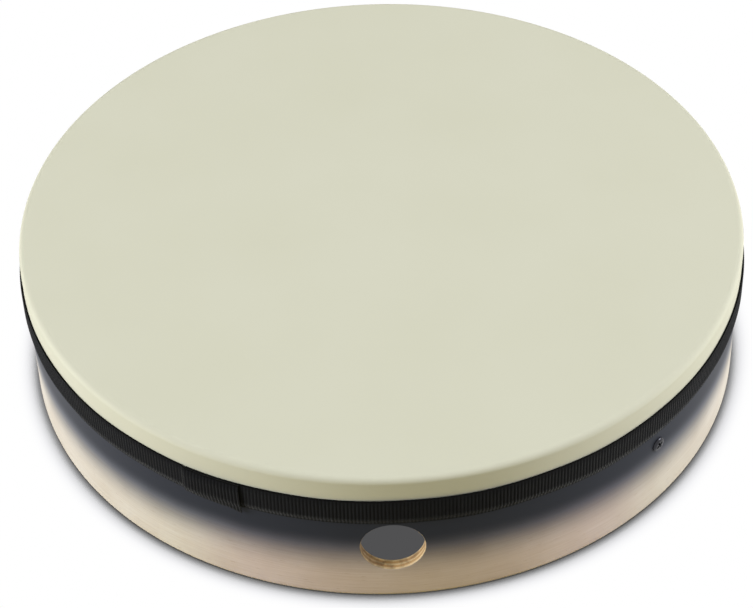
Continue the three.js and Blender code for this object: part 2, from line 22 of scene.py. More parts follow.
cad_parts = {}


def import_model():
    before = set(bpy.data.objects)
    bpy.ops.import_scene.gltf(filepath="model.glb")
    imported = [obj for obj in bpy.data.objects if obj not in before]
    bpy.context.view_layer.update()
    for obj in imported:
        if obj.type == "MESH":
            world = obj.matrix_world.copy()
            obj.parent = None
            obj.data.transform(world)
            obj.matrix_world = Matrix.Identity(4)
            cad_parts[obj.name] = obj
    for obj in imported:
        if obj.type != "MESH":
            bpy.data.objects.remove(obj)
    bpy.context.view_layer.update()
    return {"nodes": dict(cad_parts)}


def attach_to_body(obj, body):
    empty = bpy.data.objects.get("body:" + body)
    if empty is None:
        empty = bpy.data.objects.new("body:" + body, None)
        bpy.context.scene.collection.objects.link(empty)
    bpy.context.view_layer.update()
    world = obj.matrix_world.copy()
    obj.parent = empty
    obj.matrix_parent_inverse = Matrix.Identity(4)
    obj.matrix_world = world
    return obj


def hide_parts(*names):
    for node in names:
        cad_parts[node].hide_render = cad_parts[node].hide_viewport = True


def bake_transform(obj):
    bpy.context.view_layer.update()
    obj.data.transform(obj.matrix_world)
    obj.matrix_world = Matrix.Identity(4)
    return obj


MM = 0.001  # a millimetre in metres
NEAR = 0.01  # millimetres within which two places count as one
WELD = 0.002  # millimetres within which doubled corners are merged
CLEARANCE = 0.05  # millimetres by which a cutter or a hole passes its rod
FACING = 0.9  # how nearly a face that looks along an axis has to point along it
FLAT = 0.999  # the same for a face that may not be part of a rounded edge
UNROLLED = "unrolled"
log = logging.getLogger("bendir")

Colour = tuple[float, float, float, float]
Point = tuple[float, float, float]
Test = Callable[[object], bool]
Add = Callable[..., bpy.types.Node]


def linear(hex_colour: str) -> Colour:
    """Turns an sRGB colour into the linear one that a shader takes.

    Args:
        hex_colour: the colour as #rrggbb.

    Returns:
        Linear red, green and blue, with an alpha of one.
    """
    shares = [int(hex_colour[start:start + 2], 16) / 255 for start in (1, 3, 5)]
    red, green, blue = (s / 12.92 if s <= 0.04045 else ((s + 0.055) / 1.055) ** 2.4 for s in shares)
    return red, green, blue, 1.0


def repeats(size: float) -> float:
    """How many marks of a size in millimetres a pattern has in a metre."""
    return 1 / (size * MM)


def add_node(
    tree: bpy.types.NodeTree,
    kind: str,
    inputs: dict[str | int, object] | None = None,
    stops: Sequence[tuple[float, str]] = (),
    **settings: object,
) -> bpy.types.Node:
    """Adds a shader node with its settings and links.

    Args:
        tree: the material's nodes.
        kind: the node's type, without its leading ShaderNode.
        inputs: for each input, by name or number, a value, a hex colour, another node's output, or
            another node, which gives its first output in use.
        stops: the places and hex colours of a colour ramp.
        settings: the node's other properties.

    Returns:
        The new node.
    """
    node = tree.nodes.new("ShaderNode" + kind)
    for name, value in settings.items():
        setattr(node, name, value)
    for key, value in (inputs or {}).items():
        if isinstance(value, bpy.types.Node):
            value = next(output for output in value.outputs if output.enabled)
        if isinstance(value, bpy.types.NodeSocket):
            tree.links.new(value, node.inputs[key])
        else:
            node.inputs[key].default_value = linear(value) if isinstance(value, str) else value
    for index, (place, colour) in enumerate(stops):
        elements = node.color_ramp.elements
        element = elements[index] if index < 2 else elements.new(place)
        element.position = place
        element.color = linear(colour)
    return node


class Pick(Enum):
    """What an edit-mode selection holds."""

    CORNERS = "VERT"
    EDGES = "EDGE"
    FACES = "FACE"


class Axis(Enum):
    """Where a piece that was modelled along Z is turned to point."""

    X = (0.0, math.pi / 2, 0.0)
    MINUS_X = (0.0, -math.pi / 2, 0.0)
    Y = (-math.pi / 2, 0.0, 0.0)
    Z = (0.0, 0.0, 0.0)


class Fitting(Enum):
    """What a second piece does to the one that it is set into."""

    CUTS = "DIFFERENCE"
    TRIMS = "INTERSECT"
    JOINS = "UNION"


def middle(part: bmesh.types.BMEdge | bmesh.types.BMFace) -> Vector:
    """The mean of an edge's or a face's corners."""
    corners = [corner.co for corner in part.verts]
    return sum(corners, Vector()) / len(corners)


def flat_ring(*heights: float) -> Test:
    """A test for edges that lie level at one of some heights."""
    return lambda edge: any(all(abs(v.co.z - height) < NEAR for v in edge.verts) for height in heights)


def smooth_step(value: np.ndarray) -> np.ndarray:
    """Eases values from nought to one, and holds them beyond."""
    held = np.clip(value, 0, 1)
    return held * held * (3 - 2 * held)


def wrapped(radius: np.ndarray, azimuth: np.ndarray, height: np.ndarray) -> np.ndarray:
    """Places round the drum's axis, with the azimuth measured from the front."""
    return np.column_stack([radius * np.sin(azimuth), -radius * np.cos(azimuth), height])


def leave_edit_mode() -> None:
    """Goes back to object mode with nothing selected."""
    if bpy.context.object and bpy.context.object.mode != "OBJECT":
        bpy.ops.object.mode_set(mode="OBJECT")
    bpy.ops.object.select_all(action="DESELECT")


class Workpiece:
    """One mesh on the bench, in millimetres, shaped with operators until it is settled."""

    def __init__(
        self,
        name: str,
        operator: Callable[..., set],
        stretch: Sequence[float] = (1, 1, 1),
        **settings: object,
    ) -> None:
        """Adds a primitive to the bench, with its place and stretch in its mesh.

        Args:
            name: the piece's name.
            operator: what adds the primitive.
            stretch: how far it is stretched along X, Y and Z.
            settings: the operator's settings.
        """
        leave_edit_mode()
        operator(**settings)
        self.obj: bpy.types.Object = bpy.context.active_object
        self.obj.name = name
        self.obj.data.name = name
        self.obj.scale = stretch
        bpy.ops.object.transform_apply(location=True, rotation=True, scale=True)

    @classmethod
    def cylinder(cls, name: str, radius: float, bottom: float, top: float, sides: int = 64) -> Workpiece:
        """Makes a capped cylinder on the Z axis, between two heights."""
        at = (0, 0, (bottom + top) / 2)
        return cls(name, bpy.ops.mesh.primitive_cylinder_add, vertices=sides, radius=radius,
                   depth=top - bottom, location=at)

    @classmethod
    def block(cls, name: str, low: Sequence[float], high: Sequence[float]) -> Workpiece:
        """Makes a box between two corners."""
        size, at = Vector(high) - Vector(low), (Vector(low) + Vector(high)) / 2
        return cls(name, bpy.ops.mesh.primitive_cube_add, size, size=1, location=at)

    @classmethod
    def grid(cls, name: str, cells: tuple[int, int], size: tuple[float, float], at: Point) -> Workpiece:
        """Makes a flat sheet of cells in X and Y, about its middle."""
        return cls(name, bpy.ops.mesh.primitive_grid_add, (*size, 1), x_subdivisions=cells[0],
                   y_subdivisions=cells[1], size=1, location=at)

    @classmethod
    def outline(cls, name: str, corners: Sequence[Point], filled: bool = True) -> Workpiece:
        """Makes a face, or its bare edge, with each corner pulled to its place.

        Args:
            name: the piece's name.
            corners: the corners in order.
            filled: whether the edge holds a face.

        Returns:
            The outline, on the bench.
        """
        fill = "NGON" if filled else "NOTHING"
        piece = cls(name, bpy.ops.mesh.primitive_circle_add, vertices=len(corners), fill_type=fill)
        for vertex, corner in zip(piece.obj.data.vertices, corners):
            vertex.co = corner
        return piece

    def focus(self) -> None:
        """Makes this piece the only one selected, in object mode."""
        leave_edit_mode()
        bpy.context.view_layer.objects.active = self.obj
        self.obj.select_set(True)

    def select(self, pick: Pick, test: Test) -> None:
        """Goes into edit mode with only what passes the test selected.

        Args:
            pick: whether corners, edges or faces are tested.
            test: takes one of them and says whether it is selected.
        """
        if self.obj.mode != "EDIT":
            self.focus()
            bpy.ops.object.mode_set(mode="EDIT")
        bpy.ops.mesh.select_mode(type=pick.value)
        bpy.ops.mesh.select_all(action="DESELECT")
        mesh = bmesh.from_edit_mesh(self.obj.data)
        parts = {Pick.CORNERS: mesh.verts, Pick.EDGES: mesh.edges, Pick.FACES: mesh.faces}[pick]
        mesh.normal_update()
        for part in [part for part in parts if test(part)]:
            part.select_set(True)
        mesh.select_flush_mode()
        bmesh.update_edit_mesh(self.obj.data)

    def round_edges(self, test: Test, radius: float, steps: int) -> None:
        """Rounds the edges that pass the test."""
        self.select(Pick.EDGES, test)
        bpy.ops.mesh.bevel(offset=radius, segments=steps, profile=0.5, affect="EDGES")

    def round_corners(self, test: Test, radius: float, steps: int) -> None:
        """Rounds the corners of a sheet that pass the test, in its plane."""
        self.select(Pick.CORNERS, test)
        bpy.ops.mesh.bevel(offset=radius, segments=steps, profile=0.5, affect="VERTICES")

    def extrude(self, pick: Pick, test: Test, by: Point, widen: float = 1.0) -> None:
        """Extrudes what passes the test, and widens the new end about the Z axis.

        Args:
            pick: whether edges or faces are tested.
            test: takes one of them and says whether it is extruded.
            by: how far the new end moves.
            widen: the new end's size as a share of the old one's.
        """
        self.select(pick, test)
        bpy.ops.mesh.extrude_region_move(TRANSFORM_OT_translate={"value": by})
        if widen != 1.0:
            bpy.ops.transform.resize(value=(widen, widen, 1), center_override=(0, 0, 0))

    def delete(self, pick: Pick, test: Test) -> None:
        """Deletes what passes the test."""
        self.select(pick, test)
        bpy.ops.mesh.delete(type=pick.value)

    def bisect(self, at: Point, normal: Point, fill: bool) -> None:
        """Cuts what is selected with a plane and drops what lies on the normal's side."""
        bpy.ops.mesh.bisect(plane_co=at, plane_no=normal, use_fill=fill, clear_outer=True)

    def weld(self, outward: bool = True) -> None:
        """Merges doubled corners.

        Args:
            outward: whether the mesh is closed, and has its faces turned outwards.
        """
        self.select(Pick.CORNERS, lambda corner: True)
        bpy.ops.mesh.remove_doubles(threshold=WELD)
        if outward:
            bpy.ops.mesh.normals_make_consistent(inside=False)

    def modify(self, kind: str, **settings: object) -> None:
        """Adds a modifier, sets it and applies it.

        Args:
            kind: the modifier's type.
            settings: the modifier's properties.
        """
        self.focus()
        modifier = self.obj.modifiers.new(kind, kind)
        for name, value in settings.items():
            setattr(modifier, name, value)
        bpy.ops.object.modifier_apply(modifier=modifier.name)

    def combine(self, tool: Workpiece, fitting: Fitting) -> None:
        """Is cut by, trimmed to or joined with another piece, which is then used up."""
        self.modify("BOOLEAN", object=tool.obj, operation=fitting.value, solver="EXACT")
        bpy.data.objects.remove(tool.obj)

    def drill(
        self, radius: float, axis: Axis, at: Sequence[float], length: float = 100.0, sides: int = 40,
    ) -> None:
        """Drills a round hole through the piece.

        Args:
            radius: the hole's radius.
            axis: where the hole points.
            at: the middle of the hole.
            length: how long the hole is.
            sides: how many sides stand for the round.
        """
        bit = Workpiece.cylinder("bit", radius, -length / 2, length / 2, sides)
        bit.place(axis, at)
        self.combine(bit, Fitting.CUTS)

    def take(self, other: Workpiece) -> None:
        """Takes another piece's mesh into this one.

        Args:
            other: the piece that is used up.
        """
        self.focus()
        other.obj.select_set(True)
        bpy.ops.object.join()

    def ease(self, width: float, angle: float = 35.0, steps: int = 2) -> None:
        """Breaks every edge that is sharper than an angle."""
        self.modify("BEVEL", width=width, segments=steps, limit_method="ANGLE",
                    angle_limit=math.radians(angle), use_clamp_overlap=True)

    def smooth(self, angle: float = 35.0) -> None:
        """Shades the piece smooth.

        Args:
            angle: the angle, in degrees, beyond which an edge stays sharp.
        """
        self.focus()
        bpy.ops.object.shade_smooth_by_angle(angle=math.radians(angle))
        self.modify("WEIGHTED_NORMAL", keep_sharp=True)

    def set_down(self, turns: Point, at: Sequence[float] = (0, 0, 0), scale: float = 1.0) -> None:
        """Turns, scales and moves the piece's mesh.

        Args:
            turns: the turns about X, Y and Z.
            at: where the piece's origin goes.
            scale: the piece's new size as a share of its old one.
        """
        self.focus()
        self.obj.rotation_euler = turns
        self.obj.location = at
        self.obj.scale = (scale, scale, scale)
        bpy.ops.object.transform_apply(location=True, rotation=True, scale=True)

    def place(self, axis: Axis, at: Sequence[float]) -> None:
        """Turns the piece from Z to an axis and moves it there."""
        self.set_down(axis.value, at)

    def settle(self, turn: float = 0.0) -> bpy.types.Object:
        """Turns the finished piece about the drum's axis and takes it from millimetres to metres.

        Args:
            turn: the turn of the line that the piece was modelled along.

        Returns:
            The piece, in the frame.
        """
        self.set_down((0, 0, turn), scale=MM)
        leave_edit_mode()
        return self.obj

    def points(self) -> np.ndarray:
        """Reads the mesh's corners.

        Returns:
            A row of three numbers for each corner.
        """
        leave_edit_mode()
        found = np.zeros(len(self.obj.data.vertices) * 3)
        self.obj.data.vertices.foreach_get("co", found)
        return found.reshape(-1, 3)

    def move_points(self, places: np.ndarray) -> None:
        """Moves the mesh's corners to new places."""
        self.obj.data.vertices.foreach_set("co", places.ravel())
        self.obj.data.update()

    def map_unrolled(self, flat: np.ndarray) -> None:
        """Writes each corner's flat place, in metres, as the piece's own UV map.

        Args:
            flat: a row of two numbers for each corner, in millimetres.
        """
        mesh = self.obj.data
        while mesh.uv_layers:
            mesh.uv_layers.remove(mesh.uv_layers[0])
        layer = mesh.uv_layers.new(name=UNROLLED)
        corners = np.zeros(len(mesh.loops), dtype=int)
        mesh.loops.foreach_get("vertex_index", corners)
        layer.data.foreach_set("uv", (flat[corners] * MM).ravel())


@dataclass(frozen=True)
class Span:
    """A frame piece's lowest and highest corner, in millimetres."""

    low: Vector
    high: Vector

    @property
    def middle(self) -> Vector:
        """The span's middle."""
        return (self.low + self.high) / 2

    @property
    def size(self) -> Vector:
        """The span's length, width and height."""
        return self.high - self.low


@dataclass(frozen=True)
class Line:
    """A line from the drum's axis to its wall, whose X runs outwards."""

    nodes: dict[str, bpy.types.Object]
    turn: float = 0.0

    def span(self, node: str) -> Span:
        """Measures a frame piece along this line.

        Args:
            node: the piece's name in the frame.

        Returns:
            Its span along the line, across it and up.
        """
        back = Matrix.Rotation(-self.turn, 3, "Z")
        corners = np.array([back @ vertex.co for vertex in self.nodes[node].data.vertices]) / MM
        return Span(Vector(corners.min(0)), Vector(corners.max(0)))


def attach(
    obj: bpy.types.Object, material: bpy.types.Material | None, node: str, body: str | None,
) -> None:
    """Dresses a settled piece and rides it on its body in place of its frame piece.

    Args:
        obj: the settled piece.
        material: its finish, or none where the piece has several already.
        node: the frame piece that it stands for.
        body: the frame's body that it moves with, or none where it runs between two and rides on neither.
    """
    if material:
        obj.data.materials.clear()
        obj.data.materials.append(material)
    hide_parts(node)
    if body:
        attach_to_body(obj, body)
    log.info("%s stands for %s: %d faces", obj.name, node, len(obj.data.polygons))


@dataclass(frozen=True)
class Finish:
    """What every finish shares: a name, and the making of its material."""

    name: str

    def make(self) -> bpy.types.Material:
        """Makes the material from the finish's own shader.

        Returns:
            The new material.
        """
        material = bpy.data.materials.new(self.name)
        material.use_nodes = True
        tree = material.node_tree
        tree.nodes.clear()
        add = partial(add_node, tree)
        add("OutputMaterial", {"Surface": self.shade(add)})
        return material

    def shade(self, add: Add) -> bpy.types.Node:
        """Builds the finish's nodes.

        Args:
            add: adds a node to the new material.

        Returns:
            The finish's shader.
        """
        raise NotImplementedError


@dataclass(frozen=True)
class BurstLacquer(Finish):
    """Beech veneer under a satin lacquer, sprayed dark below the head and fading to bare wood.

    The eye sees pale, almost figureless wood with short fine pores along the bend, a painted shade tint on
    the front, where the wall is in shade, and a soft blue-grey edge where the spray thins out.
    """

    wood: str = "#eae3d4"
    late_wood: str = "#dbd0bd"
    # Painted shade: a tint for the front of the wall, which is in shade
    front_shade_tint: str = "#fcf3ff"
    pore: str = "#a8834f"
    worn_foot: str = "#f3ecdf"
    thin_spray: str = "#2e3c53"
    full_spray: str = "#2c2f37"
    spray_from: float = 10.0
    spray_to: float = 48.5
    spray_cloud: float = 1.2
    full_from: float = 0.85
    grain_length: float = 34.0
    grain_width: float = 0.9
    cloud_size: float = 38.0
    # Where the painted shade tint on the front lies and fades, along the unrolled wall
    front_shade_middle: float = 20.0
    front_shade_half: float = 88.0
    front_shade_fade: float = 60.0
    # Beech's real pores and flecks are a third of this size: drawn coarser, so that they show
    pore_length: float = 7.0
    pore_width: float = 0.5
    foot_wear: float = 1.6

    def shade(self, add: Add) -> bpy.types.Node:
        """Builds the wood, its painted front shade tint, its pores and worn foot, and the spray over them.

        Args:
            add: adds a node to the new material.

        Returns:
            The lacquered wood's shader.
        """
        flat = add("UVMap", uv_map=UNROLLED)
        place = add("SeparateXYZ", {0: flat})
        height = place.outputs["Y"]
        along = (repeats(self.grain_length), repeats(self.grain_width), 1)
        stretched = add("Mapping", {0: flat, "Scale": along})
        grain = add("TexNoise", {"Vector": stretched, "Scale": 1.0, "Detail": 4.0})
        cloud = add("TexNoise", {"Vector": flat, "Scale": repeats(self.cloud_size), "Detail": 2.0})
        figure = add("Math", {0: grain, 1: cloud}, operation="ADD")
        depth = add("MapRange", {"Value": figure, "From Min": 0.7, "From Max": 1.3})
        pale = add("Mix", {0: depth, 6: self.wood, 7: self.late_wood}, data_type="RGBA")
        # Painted shade: the front of the wall, which is in shade, is tinted to the colour of its shade
        off = add("Math", {0: place, 1: self.front_shade_middle * MM}, operation="SUBTRACT")
        aside = add("Math", {0: off}, operation="ABSOLUTE")
        front_shade = add("MapRange", {
            "Value": aside, "From Min": self.front_shade_half * MM,
            "From Max": (self.front_shade_half + self.front_shade_fade) * MM, "To Min": 1.0, "To Max": 0.0},
            interpolation_type="SMOOTHSTEP")
        wood = add("Mix", {0: front_shade, 6: pale, 7: self.front_shade_tint}, data_type="RGBA", blend_type="MULTIPLY")

        short = (repeats(self.pore_length), repeats(self.pore_width), 1)
        pores_at = add("Mapping", {0: flat, "Scale": short})
        pores = add("TexNoise", {"Vector": pores_at, "Scale": 1.0, "Detail": 1.0})
        rare = add("MapRange", {"Value": pores, "From Min": 0.69, "From Max": 0.78, "To Max": 0.55})
        porous = add("Mix", {0: rare, 6: wood, 7: self.pore}, data_type="RGBA")
        foot = add("MapRange", {
            "Value": height, "From Min": 0.5 * self.foot_wear * MM, "From Max": self.foot_wear * MM,
            "To Min": 0.8, "To Max": 0.0})
        worn = add("Mix", {0: foot, 6: porous, 7: self.worn_foot}, data_type="RGBA")

        reach = self.spray_cloud * MM
        drift = add("MapRange", {"Value": cloud, "To Min": -reach, "To Max": reach})
        misted = add("Math", {0: height, 1: drift}, operation="ADD")
        sprayed = add("MapRange", {
            "Value": misted, "From Min": self.spray_from * MM, "From Max": self.spray_to * MM},
            interpolation_type="SMOOTHERSTEP")
        full = add("MapRange", {"Value": sprayed, "From Min": self.full_from, "From Max": 1.0})
        pigment = add("Mix", {0: full, 6: self.thin_spray, 7: self.full_spray}, data_type="RGBA")
        colour = add("Mix", {0: sprayed, 6: worn, 7: pigment}, data_type="RGBA")
        relief = add("Bump", {"Height": grain, "Strength": 0.06, "Distance": 0.2 * MM})
        return add("BsdfPrincipled", {
            "Base Color": colour, "Roughness": 0.42, "IOR": 1.5, "Specular IOR Level": 0.08,
            "Normal": relief})


@dataclass(frozen=True)
class BareVeneer(Finish):
    """Uncoated beech veneer inside the shell: dry, a little warmer, with its grain along the bend."""

    wood: str = "#ddceb0"
    late_wood: str = "#cbb48d"
    grain_length: float = 45.0
    grain_width: float = 1.1

    def shade(self, add: Add) -> bpy.types.Node:
        """Builds the long grain.

        Args:
            add: adds a node to the new material.

        Returns:
            The bare wood's shader.
        """
        flat = add("UVMap", uv_map=UNROLLED)
        along = (repeats(self.grain_length), repeats(self.grain_width), 1)
        stretched = add("Mapping", {0: flat, "Scale": along})
        grain = add("TexNoise", {"Vector": stretched, "Scale": 1.0, "Detail": 6.0, "Distortion": 0.4})
        depth = add("MapRange", {"Value": grain, "From Min": 0.3, "From Max": 0.7})
        colour = add("Mix", {0: depth, 6: self.wood, 7: self.late_wood}, data_type="RGBA")
        relief = add("Bump", {"Height": grain, "Strength": 0.25, "Distance": 0.2 * MM})
        return add("BsdfPrincipled", {
            "Base Color": colour, "Roughness": 0.62, "IOR": 1.5, "Normal": relief})


@dataclass(frozen=True)
class PlyEdge(Finish):
    """The cut edge of five plies: pale and brown plies in turn, scorched where a hot cutter bored them."""

    outer_radius: float
    ply: float
    scorching: float = 0.0
    # How much darker the bore's edge grows towards its left side, in the scorch's colour
    leftward_darkening: float = 0.0
    long_grain: str = "#e0c79c"
    end_grain: str = "#c39c6b"
    glue: str = "#85603a"
    scorch: str = "#4f321c"
    # Wood fibres are about 0.05 mm wide: drawn coarser, so that they show
    fibre: float = 0.35
    scorch_size: float = 5.0

    def shade(self, add: Add) -> bpy.types.Node:
        """Builds the plies by their depth in the wall, their fibres and the scorch marks.

        Args:
            add: adds a node to the new material.

        Returns:
            The ply edge's shader.
        """
        place = add("TexCoord").outputs["Object"]
        flat = add("VectorMath", {0: place, 1: (1, 1, 0)}, operation="MULTIPLY")
        radius = add("VectorMath", {0: flat}, operation="LENGTH")
        depth = add("Math", {0: self.outer_radius * MM, 1: radius}, operation="SUBTRACT")
        pairs = add("Math", {0: depth, 1: 2 * self.ply * MM}, operation="DIVIDE")
        turn = add("Math", {0: pairs}, operation="FRACT")
        plies = add("ValToRGB", {"Fac": turn}, stops=[
            (0.0, self.long_grain), (0.47, self.long_grain), (0.5, self.glue), (0.53, self.end_grain),
            (0.96, self.end_grain), (1.0, self.glue)])
        fibres = add("TexNoise", {"Vector": place, "Scale": repeats(self.fibre), "Detail": 2.0})
        shade = add("MapRange", {
            "Value": fibres, "From Min": 0.25, "From Max": 0.75, "To Min": 0.78, "To Max": 1.12})
        colour = add("VectorMath", {0: plies, "Scale": shade}, operation="SCALE")
        patches = add("TexNoise", {"Vector": place, "Scale": repeats(self.scorch_size), "Detail": 4.0})
        # The bore's edge is made darker towards its left side, in the scorch's colour
        aside = add("SeparateXYZ", {0: place})
        leaned = add("Math", {0: aside, 1: -self.leftward_darkening / MM, 2: patches}, operation="MULTIPLY_ADD")
        burnt = add("MapRange", {
            "Value": leaned, "From Min": 0.42, "From Max": 0.75, "To Max": self.scorching})
        marked = add("Mix", {0: burnt, 6: colour, 7: self.scorch}, data_type="RGBA")
        relief = add("Bump", {"Height": fibres, "Strength": 0.35, "Distance": 0.15 * MM})
        return add("BsdfPrincipled", {"Base Color": marked, "Roughness": 0.6, "IOR": 1.5, "Normal": relief})


@dataclass(frozen=True)
class CoatedFilm(Finish):
    """Polyester film with a cream suede coating: even and satin, with a faint mottle and rare specks."""

    cream: str = "#dad9c2"
    shaded_cream: str = "#d8d7bf"
    speck: str = "#6b6752"
    mottle: float = 70.0
    # The real nap is about 0.1 mm wide: drawn coarser, so that it shows
    suede: float = 0.45
    speck_spacing: float = 62.0
    speck_size: float = 0.24

    def shade(self, add: Add) -> bpy.types.Node:
        """Builds the mottle, the specks and the coating's nap.

        Args:
            add: adds a node to the new material.

        Returns:
            The film's shader.
        """
        place = add("TexCoord").outputs["Object"]
        clouds = add("TexNoise", {"Vector": place, "Scale": repeats(self.mottle), "Detail": 2.0})
        depth = add("MapRange", {"Value": clouds, "From Min": 0.3, "From Max": 0.7})
        even = add("Mix", {0: depth, 6: self.cream, 7: self.shaded_cream}, data_type="RGBA")
        cells = add("TexVoronoi", {"Vector": place, "Scale": repeats(self.speck_spacing)})
        size = self.speck_size / self.speck_spacing
        near = add("MapRange", {
            "Value": cells, "From Min": 0.6 * size, "From Max": size, "To Min": 0.7, "To Max": 0.0})
        colour = add("Mix", {0: near, 6: even, 7: self.speck}, data_type="RGBA")
        nap = add("TexNoise", {"Vector": place, "Scale": repeats(self.suede), "Detail": 2.0})
        relief = add("Bump", {"Height": nap, "Strength": 0.12, "Distance": 0.1 * MM})
        return add("BsdfPrincipled", {
            "Base Color": colour, "Roughness": 0.75, "Specular IOR Level": 0.4, "Normal": relief})


@dataclass(frozen=True)
class Grosgrain(Finish):
    """Black ribbed ribbon: matt round ribs with a soft sheen and painted shade in their grooves, and a
    black along each selvage that is partly its denser weave and partly painted shade along the edge.
    """

    rib_pitch: float
    width: float
    # Painted shade: the darker colour of the grooves between the ribs
    groove_shade: str = "#0c0c0d"
    black: str = "#17181a"
    worn_black: str = "#1e1f22"
    # Partly the selvage's denser black and partly painted shade of the gap along the ribbon's edge
    selvage_black_and_gap_shade: str = "#0b0b0b"
    sheen: str = "#a2a3a2"
    # The real threads are about 0.25 mm wide: drawn coarser, so that they show
    thread: float = 0.5
    wear: float = 26.0
    selvage: float = 0.8

    def shade(self, add: Add) -> bpy.types.Node:
        """Builds the ribs' worn crests, the painted shade in their grooves, the selvages with their painted
        edge shade, and the threads.

        Args:
            add: adds a node to the new material.

        Returns:
            The ribbon's shader.
        """
        flat = add("UVMap", uv_map=UNROLLED)
        place = add("SeparateXYZ", {0: flat})
        across = place.outputs["Y"]
        rubbed = add("TexNoise", {"Vector": flat, "Scale": repeats(self.wear), "Detail": 4.0})
        crest = add("Mix", {0: rubbed, 6: self.black, 7: self.worn_black}, data_type="RGBA")
        # The grooves are painted darker than the crests, as the shade that falls in them
        ribs = add("Math", {0: place, 1: math.pi * repeats(self.rib_pitch)}, operation="MULTIPLY")
        wave = add("Math", {0: ribs}, operation="COSINE")
        rise = add("Math", {0: wave}, operation="ABSOLUTE")
        ribbed = add("Mix", {0: rise, 6: self.groove_shade, 7: crest}, data_type="RGBA")
        # Both selvages are painted black: partly their denser weave, partly painted shade along the edges
        edge = add("Math", {0: across}, operation="ABSOLUTE")
        bound = add("MapRange", {
            "Value": edge, "From Min": (self.width / 2 - self.selvage) * MM,
            "From Max": (self.width / 2 - 0.7 * self.selvage) * MM})
        colour = add("Mix", {0: bound, 6: ribbed, 7: self.selvage_black_and_gap_shade}, data_type="RGBA")
        phase = add("Math", {0: across, 1: 2 * math.pi * repeats(self.thread)}, operation="MULTIPLY")
        threads = add("Math", {0: phase}, operation="SINE")
        relief = add("Bump", {"Height": threads, "Strength": 0.25, "Distance": 0.1 * MM})
        return add("BsdfPrincipled", {
            "Base Color": colour, "Roughness": 0.85, "Specular IOR Level": 0.03, "Sheen Weight": 0.6,
            "Sheen Roughness": 0.35, "Sheen Tint": self.sheen, "Normal": relief})


@dataclass(frozen=True)
class Metal(Finish):
    """A plated or turned metal: one colour, with the cloudy gloss and hairlines of handled hardware."""

    colour: str
    gloss: float
    dull: float
    cloud: float = 3.0
    # Real hairlines are about 0.02 mm wide: drawn coarser, so that they show
    hairline: float = 0.12

    def shade(self, add: Add) -> bpy.types.Node:
        """Builds the cloudy gloss and the hairlines.

        Args:
            add: adds a node to the new material.

        Returns:
            The metal's shader.
        """
        place = add("TexCoord").outputs["Object"]
        clouds = add("TexNoise", {"Vector": place, "Scale": repeats(self.cloud), "Detail": 5.0})
        gloss = add("MapRange", {
            "Value": clouds, "From Min": 0.3, "From Max": 0.7, "To Min": self.gloss, "To Max": self.dull})
        lines = add("TexNoise", {"Vector": place, "Scale": repeats(self.hairline), "Detail": 1.0})
        relief = add("Bump", {"Height": lines, "Strength": 0.05, "Distance": 0.05 * MM})
        return add("BsdfPrincipled", {
            "Base Color": self.colour, "Metallic": 1.0, "Roughness": gloss, "Normal": relief})


@dataclass(frozen=True)
class Gut(Finish):
    """Twisted gut: amber and slightly cloudy, with a waxy gloss."""

    pale: str = "#e2d2a6"
    amber: str = "#c5a768"
    cloud: float = 5.0

    def shade(self, add: Add) -> bpy.types.Node:
        """Builds the cloudy amber.

        Args:
            add: adds a node to the new material.

        Returns:
            The gut's shader.
        """
        place = add("TexCoord").outputs["Object"]
        clouds = add("TexNoise", {"Vector": place, "Scale": repeats(self.cloud), "Detail": 3.0})
        colour = add("Mix", {0: clouds, 6: self.pale, 7: self.amber}, data_type="RGBA")
        return add("BsdfPrincipled", {
            "Base Color": colour, "Roughness": 0.38, "IOR": 1.5, "Coat Weight": 0.15,
            "Coat Roughness": 0.25})


class WallFace(IntEnum):
    """The shell's kinds of face, in the order of their finishes."""

    OUTSIDE = 0
    INSIDE = 1
    SAWN = 2
    BORED = 3


@dataclass(frozen=True)
class Hole:
    """A round hole through the shell, by its place on the unrolled wall."""

    along: float
    height: float
    radius: float
    patch: tuple[float, float]

    def reach(self, at: Vector) -> bool:
        """Whether a place on the unrolled wall lies in the patch that is opened for the hole."""
        wide, tall = self.patch
        return abs(at.x - self.along) < wide and abs(at.y - self.height) < tall


